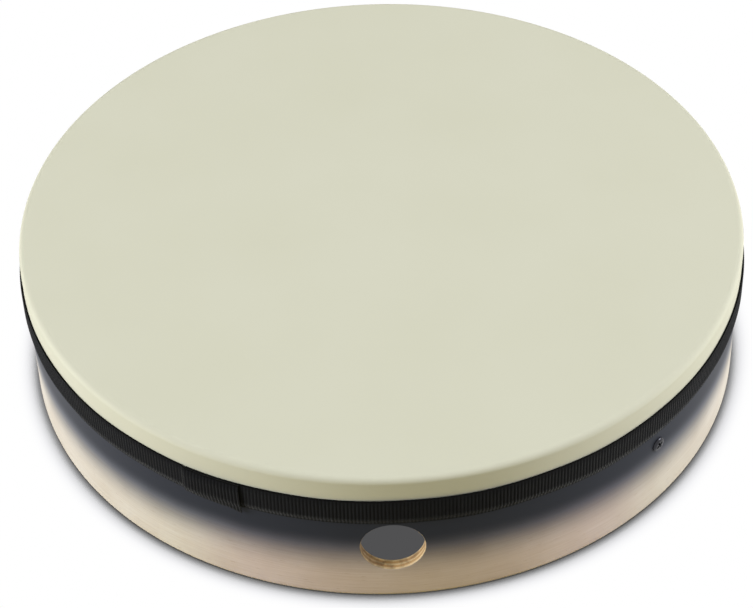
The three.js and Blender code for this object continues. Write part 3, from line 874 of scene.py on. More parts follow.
@dataclass
class PlywoodShell:
    """The bent plywood hoop: unrolled as a flat strip, drilled, thickened, eased and then bent round."""

    line: Line
    snare_turn: float
    columns: int = 576
    rows: int = 28
    wall: float = 6.5
    rim_round: float = 2.0
    bearing_round: float = 2.6
    inner_round: float = 1.0
    hole_round: float = 0.4
    thumb_hole_radius: float = 17.0
    thumb_hole_height: float = 38.0
    thumb_hole_patch: tuple[float, float] = (22.0, 20.0)
    screw_hole_radius: float = 2.3
    screw_hole_patch: tuple[float, float] = (5.5, 4.8)
    patch_margin: float = 1.3
    hole_collar: float = 1.1
    foot_facing: float = 0.1
    plies: int = 5

    def __post_init__(self) -> None:
        """Takes the shell's size and its holes' places from the frame."""
        span = self.line.span("shell")
        self.radius = span.high.x
        self.height = span.high.z
        self.half_girth = math.pi * self.radius
        self.thumb_hole = Hole(
            0.0, self.thumb_hole_height, self.thumb_hole_radius, self.thumb_hole_patch)
        screw_height = self.line.span("strainer_fixing_screw").middle.z
        front = self.snare_turn + math.pi / 2
        self.screw_holes = [
            Hole(azimuth * self.radius, screw_height, self.screw_hole_radius, self.screw_hole_patch)
            for azimuth in (front, front - math.pi)]

    def open_hole(self, strip: Workpiece, hole: Hole) -> None:
        """Opens a patch of the flat strip and extrudes its edge in to a circle.

        Args:
            strip: the flat strip.
            hole: the hole and its patch.
        """
        strip.delete(Pick.FACES, lambda face: hole.reach(middle(face)))
        wide, tall = hole.patch
        patch = (self.patch_margin * wide, self.patch_margin * tall)
        margin = Hole(hole.along, hole.height, hole.radius, patch)
        strip.select(Pick.EDGES, lambda edge: edge.is_boundary and margin.reach(middle(edge)))
        for radius in (self.hole_collar * hole.radius, hole.radius):
            bpy.ops.mesh.extrude_region_move()
            mesh = bmesh.from_edit_mesh(strip.obj.data)
            at = Vector((hole.along, hole.height, 0))
            bearing = {v: math.atan2(v.co.y - at.y, v.co.x - at.x) for v in mesh.verts if v.select}
            ring = sorted(bearing, key=bearing.get)
            step = 2 * math.pi / len(ring)
            first = sum(bearing[v] - i * step for i, v in enumerate(ring)) / len(ring)
            for i, vertex in enumerate(ring):
                angle = first + i * step
                vertex.co = at + radius * Vector((math.cos(angle), math.sin(angle), 0))
            bmesh.update_edit_mesh(strip.obj.data)

    def ease_edges(self, strip: Workpiece) -> None:
        """Rounds both rims and the rim of the thumb hole on the flat strip.

        Args:
            strip: the flat strip, with its thickness.
        """
        wall, top = self.wall, self.height

        def at(value: float, *places: float) -> bool:
            """Whether a value is one of some places."""
            return min(abs(value - place) for place in places) < NEAR

        def rim(depth: float, *heights: float) -> Test:
            """A test for the long edges at a depth and at some heights."""
            return lambda edge: all(at(v.co.z, -depth) and at(v.co.y, *heights) for v in edge.verts)

        def hole_edge(edge: bmesh.types.BMEdge) -> bool:
            """Whether an edge lies on the thumb hole's rim, outside or inside.

            Args:
                edge: one of the strip's edges.

            Returns:
                Whether both of its corners lie there, on the same side of the wall.
            """
            hole = self.thumb_hole
            first, second = (v.co for v in edge.verts)
            off = [math.hypot(place.x - hole.along, place.y - hole.height) for place in (first, second)]
            on_rim = at(off[0], hole.radius) and at(off[1], hole.radius)
            return on_rim and at(first.z, 0.0, -wall) and at(second.z, first.z)

        strip.round_edges(rim(0.0, top), self.bearing_round, steps=5)
        strip.round_edges(rim(0.0, 0.0), self.rim_round, steps=5)
        strip.round_edges(rim(wall, 0.0, top), self.inner_round, steps=3)
        strip.round_edges(hole_edge, self.hole_round, steps=3)

    def bend(self, strip: Workpiece) -> None:
        """Bends the flat strip round the drum's axis, with the thumb hole's wall kept straight.

        Args:
            strip: the flat strip, with its edges eased.
        """
        flat = strip.points()
        strip.map_unrolled(flat[:, :2])
        along, height, depth = flat[:, 0], flat[:, 1], -flat[:, 2]
        hole = self.thumb_hole
        off = np.hypot(along - hole.along, height - hole.height)
        near = np.clip((hole.patch[1] - off) / (hole.patch[1] - hole.radius - self.hole_round), 0, 1)
        radius = self.radius - depth
        azimuth = along / self.radius * (1 + near * (self.radius / radius - 1))
        strip.move_points(wrapped(radius, azimuth, height))

    def build(self) -> None:
        """Models the shell and gives its faces, edges and inside their finishes."""
        strip = Workpiece.grid(
            "plywood_shell", (self.columns, self.rows), (2 * self.half_girth, self.height),
            (0, self.height / 2, 0))
        for hole in (self.thumb_hole, *self.screw_holes):
            self.open_hole(strip, hole)
        strip.select(Pick.FACES, lambda face: face.normal.z < 0)
        bpy.ops.mesh.flip_normals()
        strip.modify("SOLIDIFY", thickness=self.wall, offset=-1.0)
        seam = self.half_girth - NEAR
        strip.delete(
            Pick.FACES, lambda face: abs(face.normal.x) > FACING and abs(middle(face).x) > seam)
        self.ease_edges(strip)
        self.sort_faces(strip)
        self.bend(strip)
        strip.weld(outward=False)
        strip.smooth(angle=40)
        attach(strip.settle(), None, "shell", "drum")

    def sort_faces(self, strip: Workpiece) -> None:
        """Gives the flat strip's outer wall, inner wall and cut edges their own finishes.

        Args:
            strip: the flat strip, with its edges eased.
        """
        leave_edit_mode()
        ply = self.wall / self.plies
        finishes = {
            WallFace.OUTSIDE: BurstLacquer("burst_lacquered_beech"),
            WallFace.INSIDE: BareVeneer("bare_beech_veneer"),
            WallFace.SAWN: PlyEdge("sawn_ply_edge", self.radius, ply),
            WallFace.BORED: PlyEdge("bored_ply_edge", self.radius, ply, scorching=0.8, leftward_darkening=0.009)}
        for kind in WallFace:
            strip.obj.data.materials.append(finishes[kind].make())
        for face in strip.obj.data.polygons:
            on_foot = face.center.y < self.rim_round and face.normal.z > self.foot_facing
            if face.normal.z > FACING or on_foot:
                face.material_index = WallFace.OUTSIDE
            elif face.normal.z < -FLAT:
                face.material_index = WallFace.INSIDE
            elif self.thumb_hole.reach(face.center):
                face.material_index = WallFace.BORED
            else:
                face.material_index = WallFace.SAWN


@dataclass
class FilmHead:
    """The film head: a shallow cup with a rounded shoulder, whose collar runs down behind the ribbon."""

    line: Line
    thickness: float = 0.6
    shoulder: float = 3.5
    sides: int = 320
    rings: tuple[float, ...] = (1.5, 12.0, 30.0, 50.0, 60.0)

    def build(self) -> None:
        """Models and dresses the head."""
        span = self.line.span("drum_head")
        head = Workpiece.cylinder("film_head", span.high.x, span.low.z, span.high.z, self.sides)
        head.delete(Pick.FACES, lambda face: face.normal.z < -FACING)
        head.round_edges(flat_ring(span.high.z), self.shoulder, steps=8)
        head.select(Pick.FACES, lambda face: face.normal.z > FLAT)
        for ring in self.rings:
            bpy.ops.mesh.inset(thickness=ring)
        bpy.ops.mesh.poke()
        head.modify("SOLIDIFY", thickness=self.thickness, offset=-1.0)
        head.smooth()
        attach(head.settle(), CoatedFilm("suede_coated_film").make(), "drum_head", "drum")


@dataclass
class EdgeRibbon:
    """The grosgrain ribbon glued round the collar's lower edge, lapped over itself at the front left."""

    line: Line
    head_radius: float
    shell_radius: float
    thickness: float = 0.8
    rib_pitch: float = 1.9
    rib_height: float = 0.3
    rib_steps: int = 6
    rows: int = 10
    width: float = 17.6
    selvage: float = 0.6
    edge_tuck: float = 0.1
    film_cover: float = 3.5
    film_step: float = 1.6
    seat: float = 0.3
    lap_end: float = math.radians(-22.4)
    lap_length: float = 31.0
    lap_clearance: float = 0.2
    lap_tuck: float = 0.3
    lap_tuck_share: float = 0.2
    lap_swell: float = 0.5
    climb: float = 3.4
    droop: float = 1.4
    corner_droop: float = 1.7
    corner_length: float = 8.0
    end_skew: float = 0.8
    skew_length: float = 22.0
    skew_power: float = 1.5
    steady_top: float = 0.6
    # Each wave's reach in millimetres, how many of it go round the drum, and its phase
    sways: tuple[tuple[float, int, float], ...] = ((0.12, 11, 0.4), (0.084, 23, 1.9))
    edge_wave: tuple[float, int, float] = (0.2, 17, 0.9)

    def __post_init__(self) -> None:
        """Takes the height of the ribbon's lower edge from the frame."""
        self.bottom = self.line.span("edge_ribbon").high.z - self.width

    def section(self, height: np.ndarray) -> np.ndarray:
        """Works out where the ribbon's back lies, from below the film's cut edge up to the collar.

        Args:
            height: heights on the drum.

        Returns:
            The back's radius at each height.
        """
        covered = self.bottom + self.film_cover
        rise = smooth_step((height - covered) / self.film_step + 1)
        return self.shell_radius + self.seat + rise * (self.head_radius - self.shell_radius)

    def build(self) -> None:
        """Models the ribbon as a flat strip, ribs it, wraps it round the drum and gives it thickness."""
        seated = self.head_radius + self.seat
        lap = self.lap_length
        length = 2 * math.pi * seated + lap
        ribs = round(length / self.rib_pitch)
        strip = Workpiece.grid(
            "grosgrain_ribbon", (ribs * self.rib_steps, self.rows), (length, self.width), (0, 0, 0))
        flat = strip.points()
        run = flat[:, 0] + length / 2
        strip.map_unrolled(np.column_stack([run, flat[:, 1]]))
        up = np.clip(flat[:, 1] / self.width + 0.5, 0, 1)
        left = length - run

        skew = self.end_skew * smooth_step(1 - left / self.skew_length) * (1 - up) ** self.skew_power
        azimuth = self.lap_end + (run + skew - length) / seated
        turn = azimuth % (2 * math.pi)

        def wave(reach: float, count: int, phase: float) -> np.ndarray:
            """A wave that closes on itself round the drum."""
            return reach * np.sin(count * turn + phase)

        droop = self.droop * smooth_step((lap + self.climb - left) / lap)
        droop += self.corner_droop * smooth_step(1 - left / self.corner_length)
        height = self.bottom + up * self.width - droop * (1 - up)
        height += wave(*self.edge_wave) * np.abs(2 * up - 1)

        lift = self.thickness + self.seat + self.lap_clearance
        lift *= smooth_step((lap + self.climb - left) / self.climb)
        lift *= 1 - self.lap_tuck * smooth_step((up - 1) / self.lap_tuck_share + 1)
        selvage = smooth_step(np.minimum(up, 1 - up) * self.width / self.selvage)
        swell = 1 + self.lap_swell * smooth_step((lap - left) / self.climb)
        rib = np.abs(np.cos(np.pi * run / self.rib_pitch)) * self.rib_height * selvage * swell
        sway = sum(wave(*each) for each in self.sways) * (1 - self.steady_top * up)
        proud = lift + rib - self.edge_tuck * (1 - selvage) + sway
        strip.move_points(wrapped(self.section(height) + self.thickness + proud, azimuth, height))
        strip.modify("SOLIDIFY", thickness=self.thickness, offset=-1.0)
        strip.smooth(angle=60)
        ribbon = strip.settle()
        grosgrain = Grosgrain("black_grosgrain", self.rib_pitch, self.width).make()
        attach(ribbon, grosgrain, "edge_ribbon", "drum")


def threaded_rod(name: str, radius: float, pitch: float, bottom: float, top: float) -> Workpiece:
    """Models a rod on the Z axis with a real helical thread and chamfered ends.

    Args:
        name: the piece's name.
        radius: the thread's radius over its crests.
        pitch: the height of one turn.
        bottom: the height of the lower end.
        top: the height of the upper end.

    Returns:
        The closed rod, still on the bench.
    """
    depth = 0.55 * pitch
    crest = (0.38 * pitch, 0.62 * pitch)
    chamfer = 0.7 * pitch
    steps, spare = 24, 2
    root = radius - depth
    start = bottom - spare * pitch
    rod = Workpiece.outline(name, [
        (root, 0, start), *((radius, 0, start + edge) for edge in crest), (root, 0, start + pitch)],
        filled=False)
    rod.delete(Pick.EDGES, lambda edge: all(v.co.x < root + NEAR for v in edge.verts))
    turns = math.ceil((top - bottom) / pitch) + 2 * spare
    rod.modify("SCREW", axis="Z", screw_offset=pitch, iterations=turns, steps=steps, render_steps=steps)
    rod.weld(outward=False)
    for height, way in ((top, 1), (bottom, -1)):
        rod.select(Pick.CORNERS, lambda corner: True)
        rod.bisect((0, 0, height), (0, 0, way), fill=True)
    rod.weld()
    blank = Workpiece.cylinder("blank", radius + CLEARANCE, bottom, top, sides=2 * steps)
    blank.round_edges(flat_ring(bottom, top), chamfer, steps=1)
    rod.combine(blank, Fitting.TRIMS)
    return rod


def drilled_washer(
    name: str, radius: float, bore: float, thickness: float, broken: float = 0.14,
) -> Workpiece:
    """Models a flat washer that stands on the Z axis.

    Args:
        name: the piece's name.
        radius: the washer's radius.
        bore: the radius of its hole.
        thickness: its thickness.
        broken: how far its edges are broken.

    Returns:
        The washer, still on the bench.
    """
    ring = Workpiece.cylinder(name, radius, 0, thickness)
    ring.drill(bore, Axis.Z, (0, 0, 0))
    ring.ease(broken)
    ring.smooth()
    return ring


def hex_nut(
    name: str, across_flats: float, height: float, bore: float, chamfer: float = 0.6, broken: float = 0.1,
) -> Workpiece:
    """Models a hexagon nut with chamfered corners on the Z axis.

    Args:
        name: the piece's name.
        across_flats: the width between two flats.
        height: the nut's height.
        bore: the radius of its hole.
        chamfer: how far its corners are turned off.
        broken: how far its edges are broken.

    Returns:
        The nut, still on the bench.
    """
    corner = across_flats / math.sqrt(3)
    nut = Workpiece.cylinder(name, corner, 0, height, sides=6)
    blank = Workpiece.cylinder("blank", corner, 0, height)
    blank.round_edges(flat_ring(0, height), chamfer, steps=1)
    nut.combine(blank, Fitting.TRIMS)
    nut.drill(bore, Axis.Z, (0, 0, height / 2))
    nut.ease(broken, angle=25)
    nut.smooth(angle=25)
    return nut


@dataclass(frozen=True)
class PanScrew:
    """A cross-recess screw with a domed head on the Z axis, seated at nought with its shank below."""

    head_radius: float
    head_height: float
    shank_radius: float
    length: float
    pitch: float
    recess_turn: float
    dome: float = 0.5
    wall_share: float = 0.15
    recess_reach: float = 0.55
    recess_half_width: float = 0.14
    recess_depth: float = 0.85
    recess_draft: float = 0.8
    recess_over: float = 1.02
    broken: float = 0.025
    shank_seat: float = 0.1

    def model(self, name: str) -> Workpiece:
        """Rounds the head, cuts its recess and joins its threaded shank.

        Args:
            name: the piece's name.

        Returns:
            The screw, still on the bench.
        """
        top = self.head_height
        tall = self.dome * self.head_radius / (1 - self.wall_share)
        screw = Workpiece.cylinder(name, self.head_radius, 0, tall)
        screw.round_edges(flat_ring(tall), self.dome * self.head_radius, steps=8)
        screw.select(Pick.CORNERS, lambda corner: True)
        bpy.ops.transform.resize(value=(1, 1, top / tall), center_override=(0, 0, 0))
        reach = self.recess_reach * self.head_radius
        half = self.recess_half_width * self.head_radius
        floor, draft = (1 - self.recess_depth) * top, self.recess_draft
        for turn in (self.recess_turn, self.recess_turn + math.pi / 2):
            wing = Workpiece.block("wing", (-reach, -half, floor), (reach, half, self.recess_over * top))
            wing.select(Pick.FACES, lambda face: face.normal.z < -FACING)
            bpy.ops.transform.resize(value=(draft, draft, 1), center_override=(0, 0, 0))
            wing.set_down((0, 0, turn))
            screw.combine(wing, Fitting.CUTS)
        screw.ease(self.broken * self.head_radius, angle=40)
        seat = self.shank_seat * top
        shank = threaded_rod("shank", self.shank_radius, self.pitch, -self.length, seat)
        screw.combine(shank, Fitting.JOINS)
        screw.smooth(angle=40)
        return screw


@dataclass
class WallFixing:
    """The screw, washer and nut that hold one bracket to the shell."""

    line: Line
    end: str
    bracket: str
    shell_radius: float
    screw_finish: bpy.types.Material
    nut_finish: bpy.types.Material
    sheet: float = 2.0
    head_height: float = 1.4
    thread_radius: float = 2.0
    pitch: float = 0.7
    bore: float = 2.1
    recess_turn: float = 0.5

    def build(self) -> None:
        """Models the three pieces, tight against the shell and the bracket."""
        nodes = [f"{self.end}_fixing_{kind}" for kind in ("screw", "washer", "nut")]
        screw_span, washer_span, nut_span = (self.line.span(node) for node in nodes)
        height = screw_span.middle.z
        radius, length = screw_span.size.z / 2, self.shell_radius - screw_span.low.x
        screw = PanScrew(
            radius, self.head_height, self.thread_radius, length, self.pitch, self.recess_turn,
        ).model(f"{self.end}_wall_screw")
        screw.place(Axis.X, (self.shell_radius, 0, height))
        face = self.line.span(self.bracket).high.x - self.sheet
        thickness = washer_span.size.x
        washer = drilled_washer(f"{self.end}_wall_washer", washer_span.size.z / 2, self.bore, thickness)
        washer.place(Axis.MINUS_X, (face, 0, height))
        nut = hex_nut(f"{self.end}_wall_nut", nut_span.size.y, nut_span.size.x, self.bore)
        nut.place(Axis.MINUS_X, (face - thickness, 0, height))
        finishes = (self.screw_finish, self.nut_finish, self.nut_finish)
        for piece, finish, node in zip((screw, washer, nut), finishes, nodes):
            attach(piece.settle(self.line.turn), finish, node, "drum")


@dataclass
class FoldedSheet:
    """What both brackets share: a sheet that is folded, thickened and screwed to the shell."""

    line: Line
    finish: bpy.types.Material
    sheet: float = 2.0
    bend: float = 2.0
    bend_steps: int = 6
    corner: float = 3.0
    corner_steps: int = 5
    fixing_hole: float = 2.3
    broken: float = 0.3

    def fold(self, flat: Workpiece, back: float, fixing: Span) -> None:
        """Rounds a sheet's bends, gives it its thickness and drills its fixing hole.

        Args:
            flat: the sheet, without its thickness.
            back: how far out the middle of its back lies.
            fixing: the span of the screw that holds it.
        """
        flat.round_edges(
            lambda edge: not edge.is_boundary and all(v.co.x > back - NEAR for v in edge.verts),
            self.bend, self.bend_steps)
        flat.modify("SOLIDIFY", thickness=self.sheet, offset=0.0, use_even_offset=True)
        flat.weld()
        flat.drill(self.fixing_hole, Axis.X, (back, 0, fixing.middle.z))

    def hang(self, folded: Workpiece, node: str) -> None:
        """Breaks a folded sheet's edges, and settles and dresses it.

        Args:
            folded: the drilled sheet.
            node: the frame piece that it stands for.
        """
        folded.ease(self.broken)
        folded.smooth()
        attach(folded.settle(self.line.turn), self.finish, node, "drum")


@dataclass
class StrainerBracket(FoldedSheet):
    """The folded channel that guides the carriage, its riveted saddle pin and the thumbscrew's shelf."""

    ear_bottom: float = 62.2
    ear_slope: float = 14.0
    taper: float = 5.0
    shelf_half: float = 11.0
    shelf_margin: float = 6.0
    thread_hole: float = 2.8
    rivet_height: float = 1.0
    rivet_ratio: float = 1.6
    rivet_round: float = 0.8

    def build(self) -> None:
        """Folds the bracket from a flat sheet, drills it and rivets the pin in."""
        span = self.line.span("strainer_bracket")
        pin = self.line.span("saddle_pin")
        screw = self.line.span("tension_screw")
        fixing = self.line.span("strainer_fixing_screw")
        half = self.sheet / 2
        back, tip = span.high.x - half, span.low.x
        side, top, shelf = span.high.y - half, span.high.z, span.low.z + half
        foot = self.ear_bottom - self.ear_slope
        narrow = self.shelf_half
        sheet = Workpiece.outline("folded_bracket", [
            (back, -narrow, shelf), (back, narrow, shelf), (back, narrow, foot - self.taper),
            (back, side, foot), (back, side, top), (back, -side, top), (back, -side, foot),
            (back, -narrow, foot - self.taper)])
        sheet.extrude(Pick.EDGES, lambda edge: abs(middle(edge).y) > side - NEAR, (tip - back, 0, 0))
        sheet.select(Pick.FACES, lambda face: abs(face.normal.y) > FACING)
        sheet.bisect((tip, 0, self.ear_bottom), (foot - self.ear_bottom, 0, tip - back), fill=False)
        shelf_tip = screw.middle.x - self.shelf_margin
        sheet.extrude(Pick.EDGES, flat_ring(shelf), (shelf_tip - back, 0, 0))
        front = max(tip, shelf_tip) + NEAR
        sheet.round_corners(
            lambda corner: corner.co.x < front and corner.is_boundary, self.corner, self.corner_steps)
        self.fold(sheet, back, fixing)
        pin_radius = pin.size.z / self.rivet_ratio / 2
        sheet.drill(pin_radius + CLEARANCE, Axis.Y, pin.middle)
        sheet.drill(self.thread_hole, Axis.Z, (screw.middle.x, 0, shelf))
        self.hang(sheet, "strainer_bracket")
        self.build_pin(pin, pin_radius, span.high.y)

    def build_pin(self, span: Span, radius: float, seat: float) -> None:
        """Models the saddle pin with a domed rivet head outside each ear.

        Args:
            span: the pin's span, with its rivet heads.
            radius: the pin's radius between the heads.
            seat: how far across the outsides of the ears lie.
        """
        pin = Workpiece.cylinder("saddle_rivet_pin", radius, -seat, seat, sides=40)
        for way in (1, -1):
            def end(face: bmesh.types.BMFace) -> bool:
                """Whether a face is the pin's cap at this end."""
                capped = len(face.verts) > 4 and way * face.normal.z > FACING
                return capped and way * middle(face).z > seat - NEAR

            pin.extrude(Pick.FACES, end, (0, 0, 0), widen=self.rivet_ratio)
            pin.extrude(Pick.FACES, end, (0, 0, way * self.rivet_height))
            crown = flat_ring(way * (seat + self.rivet_height))
            pin.round_edges(crown, self.rivet_round * self.rivet_height, steps=5)
        pin.smooth()
        pin.place(Axis.Y, span.middle)
        attach(pin.settle(self.line.turn), self.finish, "saddle_pin", "drum")


@dataclass
class Carriage:
    """The brass block that slides between the ears, with the bar and screws that clamp the strands."""

    line: Line
    brass: bpy.types.Material
    steel: bpy.types.Material
    thread_hole: float = 2.75
    clamp_thread: float = 1.5
    clamp_pitch: float = 0.5
    clamp_head_height: float = 2.0
    tapped_gap: float = 0.1
    tapped_over: float = 0.3
    bar_gap: float = 0.15
    block_corner: float = 1.0
    block_broken: float = 0.35
    bar_corner: float = 1.6
    bar_broken: float = 0.25
    recess_turns: tuple[float, float] = (0.25, 1.05)

    def build(self) -> None:
        """Models the block, the clamp bar and its two screws."""
        screws = [self.line.span(f"clamp_screw_{number}") for number in (1, 2)]
        self.build_block(screws)
        self.build_bar(screws)
        self.build_screws(screws)

    def build_block(self, screws: Sequence[Span]) -> None:
        """Models the block, bored for the thumbscrew and tapped for the clamp's screws.

        Args:
            screws: the spans of the clamp's screws.
        """
        span = self.line.span("carriage")
        block = Workpiece.block("brass_carriage", span.low, span.high)
        block.round_edges(
            lambda edge: edge.verts[0].co.xy == edge.verts[1].co.xy, self.block_corner, steps=4)
        at = self.line.span("tension_screw").middle
        block.drill(self.thread_hole, Axis.Z, (at.x, 0, span.middle.z), 2 * span.size.z)
        for screw in screws:
            depth = screw.high.x + self.tapped_over - span.low.x
            tapped = self.clamp_thread + self.tapped_gap
            block.drill(tapped, Axis.X, (span.low.x, *screw.middle.yz), 2 * depth, sides=24)
        block.ease(self.block_broken)
        block.smooth()
        attach(block.settle(self.line.turn), self.brass, "carriage", "carriage_unit")

    def build_bar(self, screws: Sequence[Span]) -> None:
        """Models the bar that presses the strands to the block.

        Args:
            screws: the spans of the screws that go through it.
        """
        span = self.line.span("clamp_plate")
        bar = Workpiece.block("clamp_bar", span.low, span.high)
        bar.round_edges(lambda edge: edge.verts[0].co.yz == edge.verts[1].co.yz, self.bar_corner, steps=5)
        for screw in screws:
            bar.drill(self.clamp_thread + self.bar_gap, Axis.X, screw.middle, sides=32)
        bar.ease(self.bar_broken)
        bar.smooth()
        attach(bar.settle(self.line.turn), self.steel, "clamp_plate", "carriage_unit")

    def build_screws(self, screws: Sequence[Span]) -> None:
        """Models the clamp's screws, seated on the bar, each stopped at its own turn.

        Args:
            screws: the screws' spans.
        """
        seat = self.line.span("clamp_plate").low.x
        for number, (span, turn) in enumerate(zip(screws, self.recess_turns), 1):
            screw = PanScrew(
                span.size.y / 2, self.clamp_head_height, self.clamp_thread, span.high.x - seat,
                self.clamp_pitch, turn).model(f"clamp_pan_screw_{number}")
            screw.place(Axis.MINUS_X, (seat, *span.middle.yz))
            obj = screw.settle(self.line.turn)
            attach(obj, self.steel, f"clamp_screw_{number}", "carriage_unit")


@dataclass
class Thumbscrew:
    """The fluted brass thumbscrew that draws the carriage, and the snap ring that keeps it in its shelf."""

    line: Line
    brass: bpy.types.Material
    steel: bpy.types.Material
    thread_radius: float = 2.5
    pitch: float = 0.8
    knob_radius: float = 7.0
    knob_height: float = 11.0
    knob_round: float = 0.5
    boss_radius: float = 4.5
    boss_height: float = 1.5
    boss_round: float = 0.3
    dish_radius: float = 4.4
    dish_depth: float = 0.7
    groove_radius: float = 1.9
    groove_gap: float = 0.3
    flutes: int = 20
    flute_corners: int = 8
    flute_steps: tuple[float, ...] = (0.6, 0.45, 0.12)
    ring_mouth: float = 3.0
    ring_bore: float = 1.95
    ring_round: float = 0.5
    broken: float = 0.12
    overlap: float = 1.0

    def near_flute(self, step: int) -> Test:
        """Makes a test for the knob's corners that lie some steps from the bottom of a flute.

        Args:
            step: how many corners away from the bottom.

        Returns:
            The test.
        """
        share = self.flute_corners
        corners = share * self.flutes

        def test(corner: bmesh.types.BMVert) -> bool:
            """Whether a corner lies that far from a flute's bottom."""
            place = round(math.atan2(corner.co.y, corner.co.x) / (2 * math.pi) * corners)
            return place % share in (step, (share - step) % share)

        return test

    def build(self) -> None:
        """Models the thumbscrew and its snap ring."""
        ring = self.line.span("retaining_clip")
        self.build_screw(self.line.span("tension_screw"), ring)
        self.build_ring(ring)

    def build_screw(self, span: Span, ring: Span) -> None:
        """Models the fluted knob with its dish, its boss, its grooved neck and its thread.

        Args:
            span: the thumbscrew's span.
            ring: the span of the snap ring that its groove holds.
        """
        radius, bottom, over = self.knob_radius, span.low.z, self.overlap
        top = bottom + self.knob_height
        sides = self.flute_corners * self.flutes
        knob = Workpiece.cylinder("brass_thumbscrew", radius, bottom, top, sides)
        for step, depth in enumerate(self.flute_steps):
            knob.select(Pick.CORNERS, self.near_flute(step))
            share = (radius - depth) / radius
            bpy.ops.transform.resize(value=(share, share, 1), center_override=(0, 0, 0))
        knob.round_edges(flat_ring(bottom, top), self.knob_round, steps=3)
        dish = Workpiece.cylinder("dish", self.dish_radius, bottom - over, bottom + self.dish_depth)
        knob.combine(dish, Fitting.CUTS)
        knob.ease(self.broken, angle=60)

        boss_top = top + self.boss_height
        groove_low, groove_high = ring.low.z - self.groove_gap, ring.high.z + self.groove_gap
        core_top = groove_high + 2 * over
        boss = Workpiece.cylinder("boss", self.boss_radius, top - over, boss_top)
        boss.round_edges(flat_ring(boss_top), self.boss_round, steps=2)
        neck = Workpiece.cylinder("neck", self.thread_radius, top, groove_low, sides=48)
        core = Workpiece.cylinder("core", self.groove_radius, top, core_top, sides=40)
        thread = threaded_rod("thread", self.thread_radius, self.pitch, groove_high, span.high.z)
        for piece in (boss, neck, core, thread):
            knob.combine(piece, Fitting.JOINS)
        knob.smooth(angle=40)
        knob.place(Axis.Z, (span.middle.x, 0, 0))
        attach(knob.settle(self.line.turn), self.brass, "tension_screw", "thumbscrew")

    def build_ring(self, span: Span) -> None:
        """Models the snap ring, with the mouth that it is pushed on by.

        Args:
            span: the ring's span.
        """
        snap = Workpiece.cylinder("snap_ring", span.size.y / 2, span.low.z, span.high.z)
        snap.drill(self.ring_bore, Axis.Z, (0, 0, span.middle.z))
        half = self.ring_mouth / 2
        mouth = Workpiece.block("mouth", (-span.size.y, -half, 0), (0, half, 2 * span.high.z))
        snap.combine(mouth, Fitting.CUTS)

        def tip(edge: bmesh.types.BMEdge) -> bool:
            """Whether an edge is an upright one beside the ring's mouth."""
            first, second = (v.co for v in edge.verts)
            return first.xy == second.xy and abs(abs(first.y) - half) < NEAR

        snap.round_edges(tip, self.ring_round, steps=4)
        snap.ease(self.broken)
        snap.smooth()
        snap.place(Axis.Z, (span.middle.x, 0, 0))
        attach(snap.settle(self.line.turn), self.steel, "retaining_clip", "thumbscrew")


@dataclass
class ButtBracket(FoldedSheet):
    """The bent strip at the far end of the snare line, whose tongue holds the strands' knots."""

    foot_corner: float = 6.0
    foot_steps: int = 7
    hole_from_tip: float = 4.1
    strand_hole: float = 0.9
    strand_offset: float = 5.0

    def build(self) -> None:
        """Folds the strip, rounds its corners and drills it."""
        span = self.line.span("butt_plate")
        half = self.sheet / 2
        back, tip, side = span.high.x - half, span.low.x, span.high.y
        foot, tongue = span.low.z, span.high.z - half
        strip = Workpiece.outline("butt_bracket", [
            (back, -side, foot), (back, side, foot), (back, side, tongue), (back, -side, tongue)])
        strip.extrude(Pick.EDGES, flat_ring(tongue), (tip - back, 0, 0))
        strip.round_corners(lambda corner: corner.co.x < tip + NEAR, self.corner, self.corner_steps)
        strip.round_corners(lambda corner: corner.co.z < foot + NEAR, self.foot_corner, self.foot_steps)
        self.fold(strip, back, self.line.span("butt_fixing_screw"))
        for across in (-self.strand_offset, self.strand_offset):
            strip.drill(self.strand_hole, Axis.Z, (tip + self.hole_from_tip, across, tongue), sides=24)
        self.hang(strip, "butt_plate")


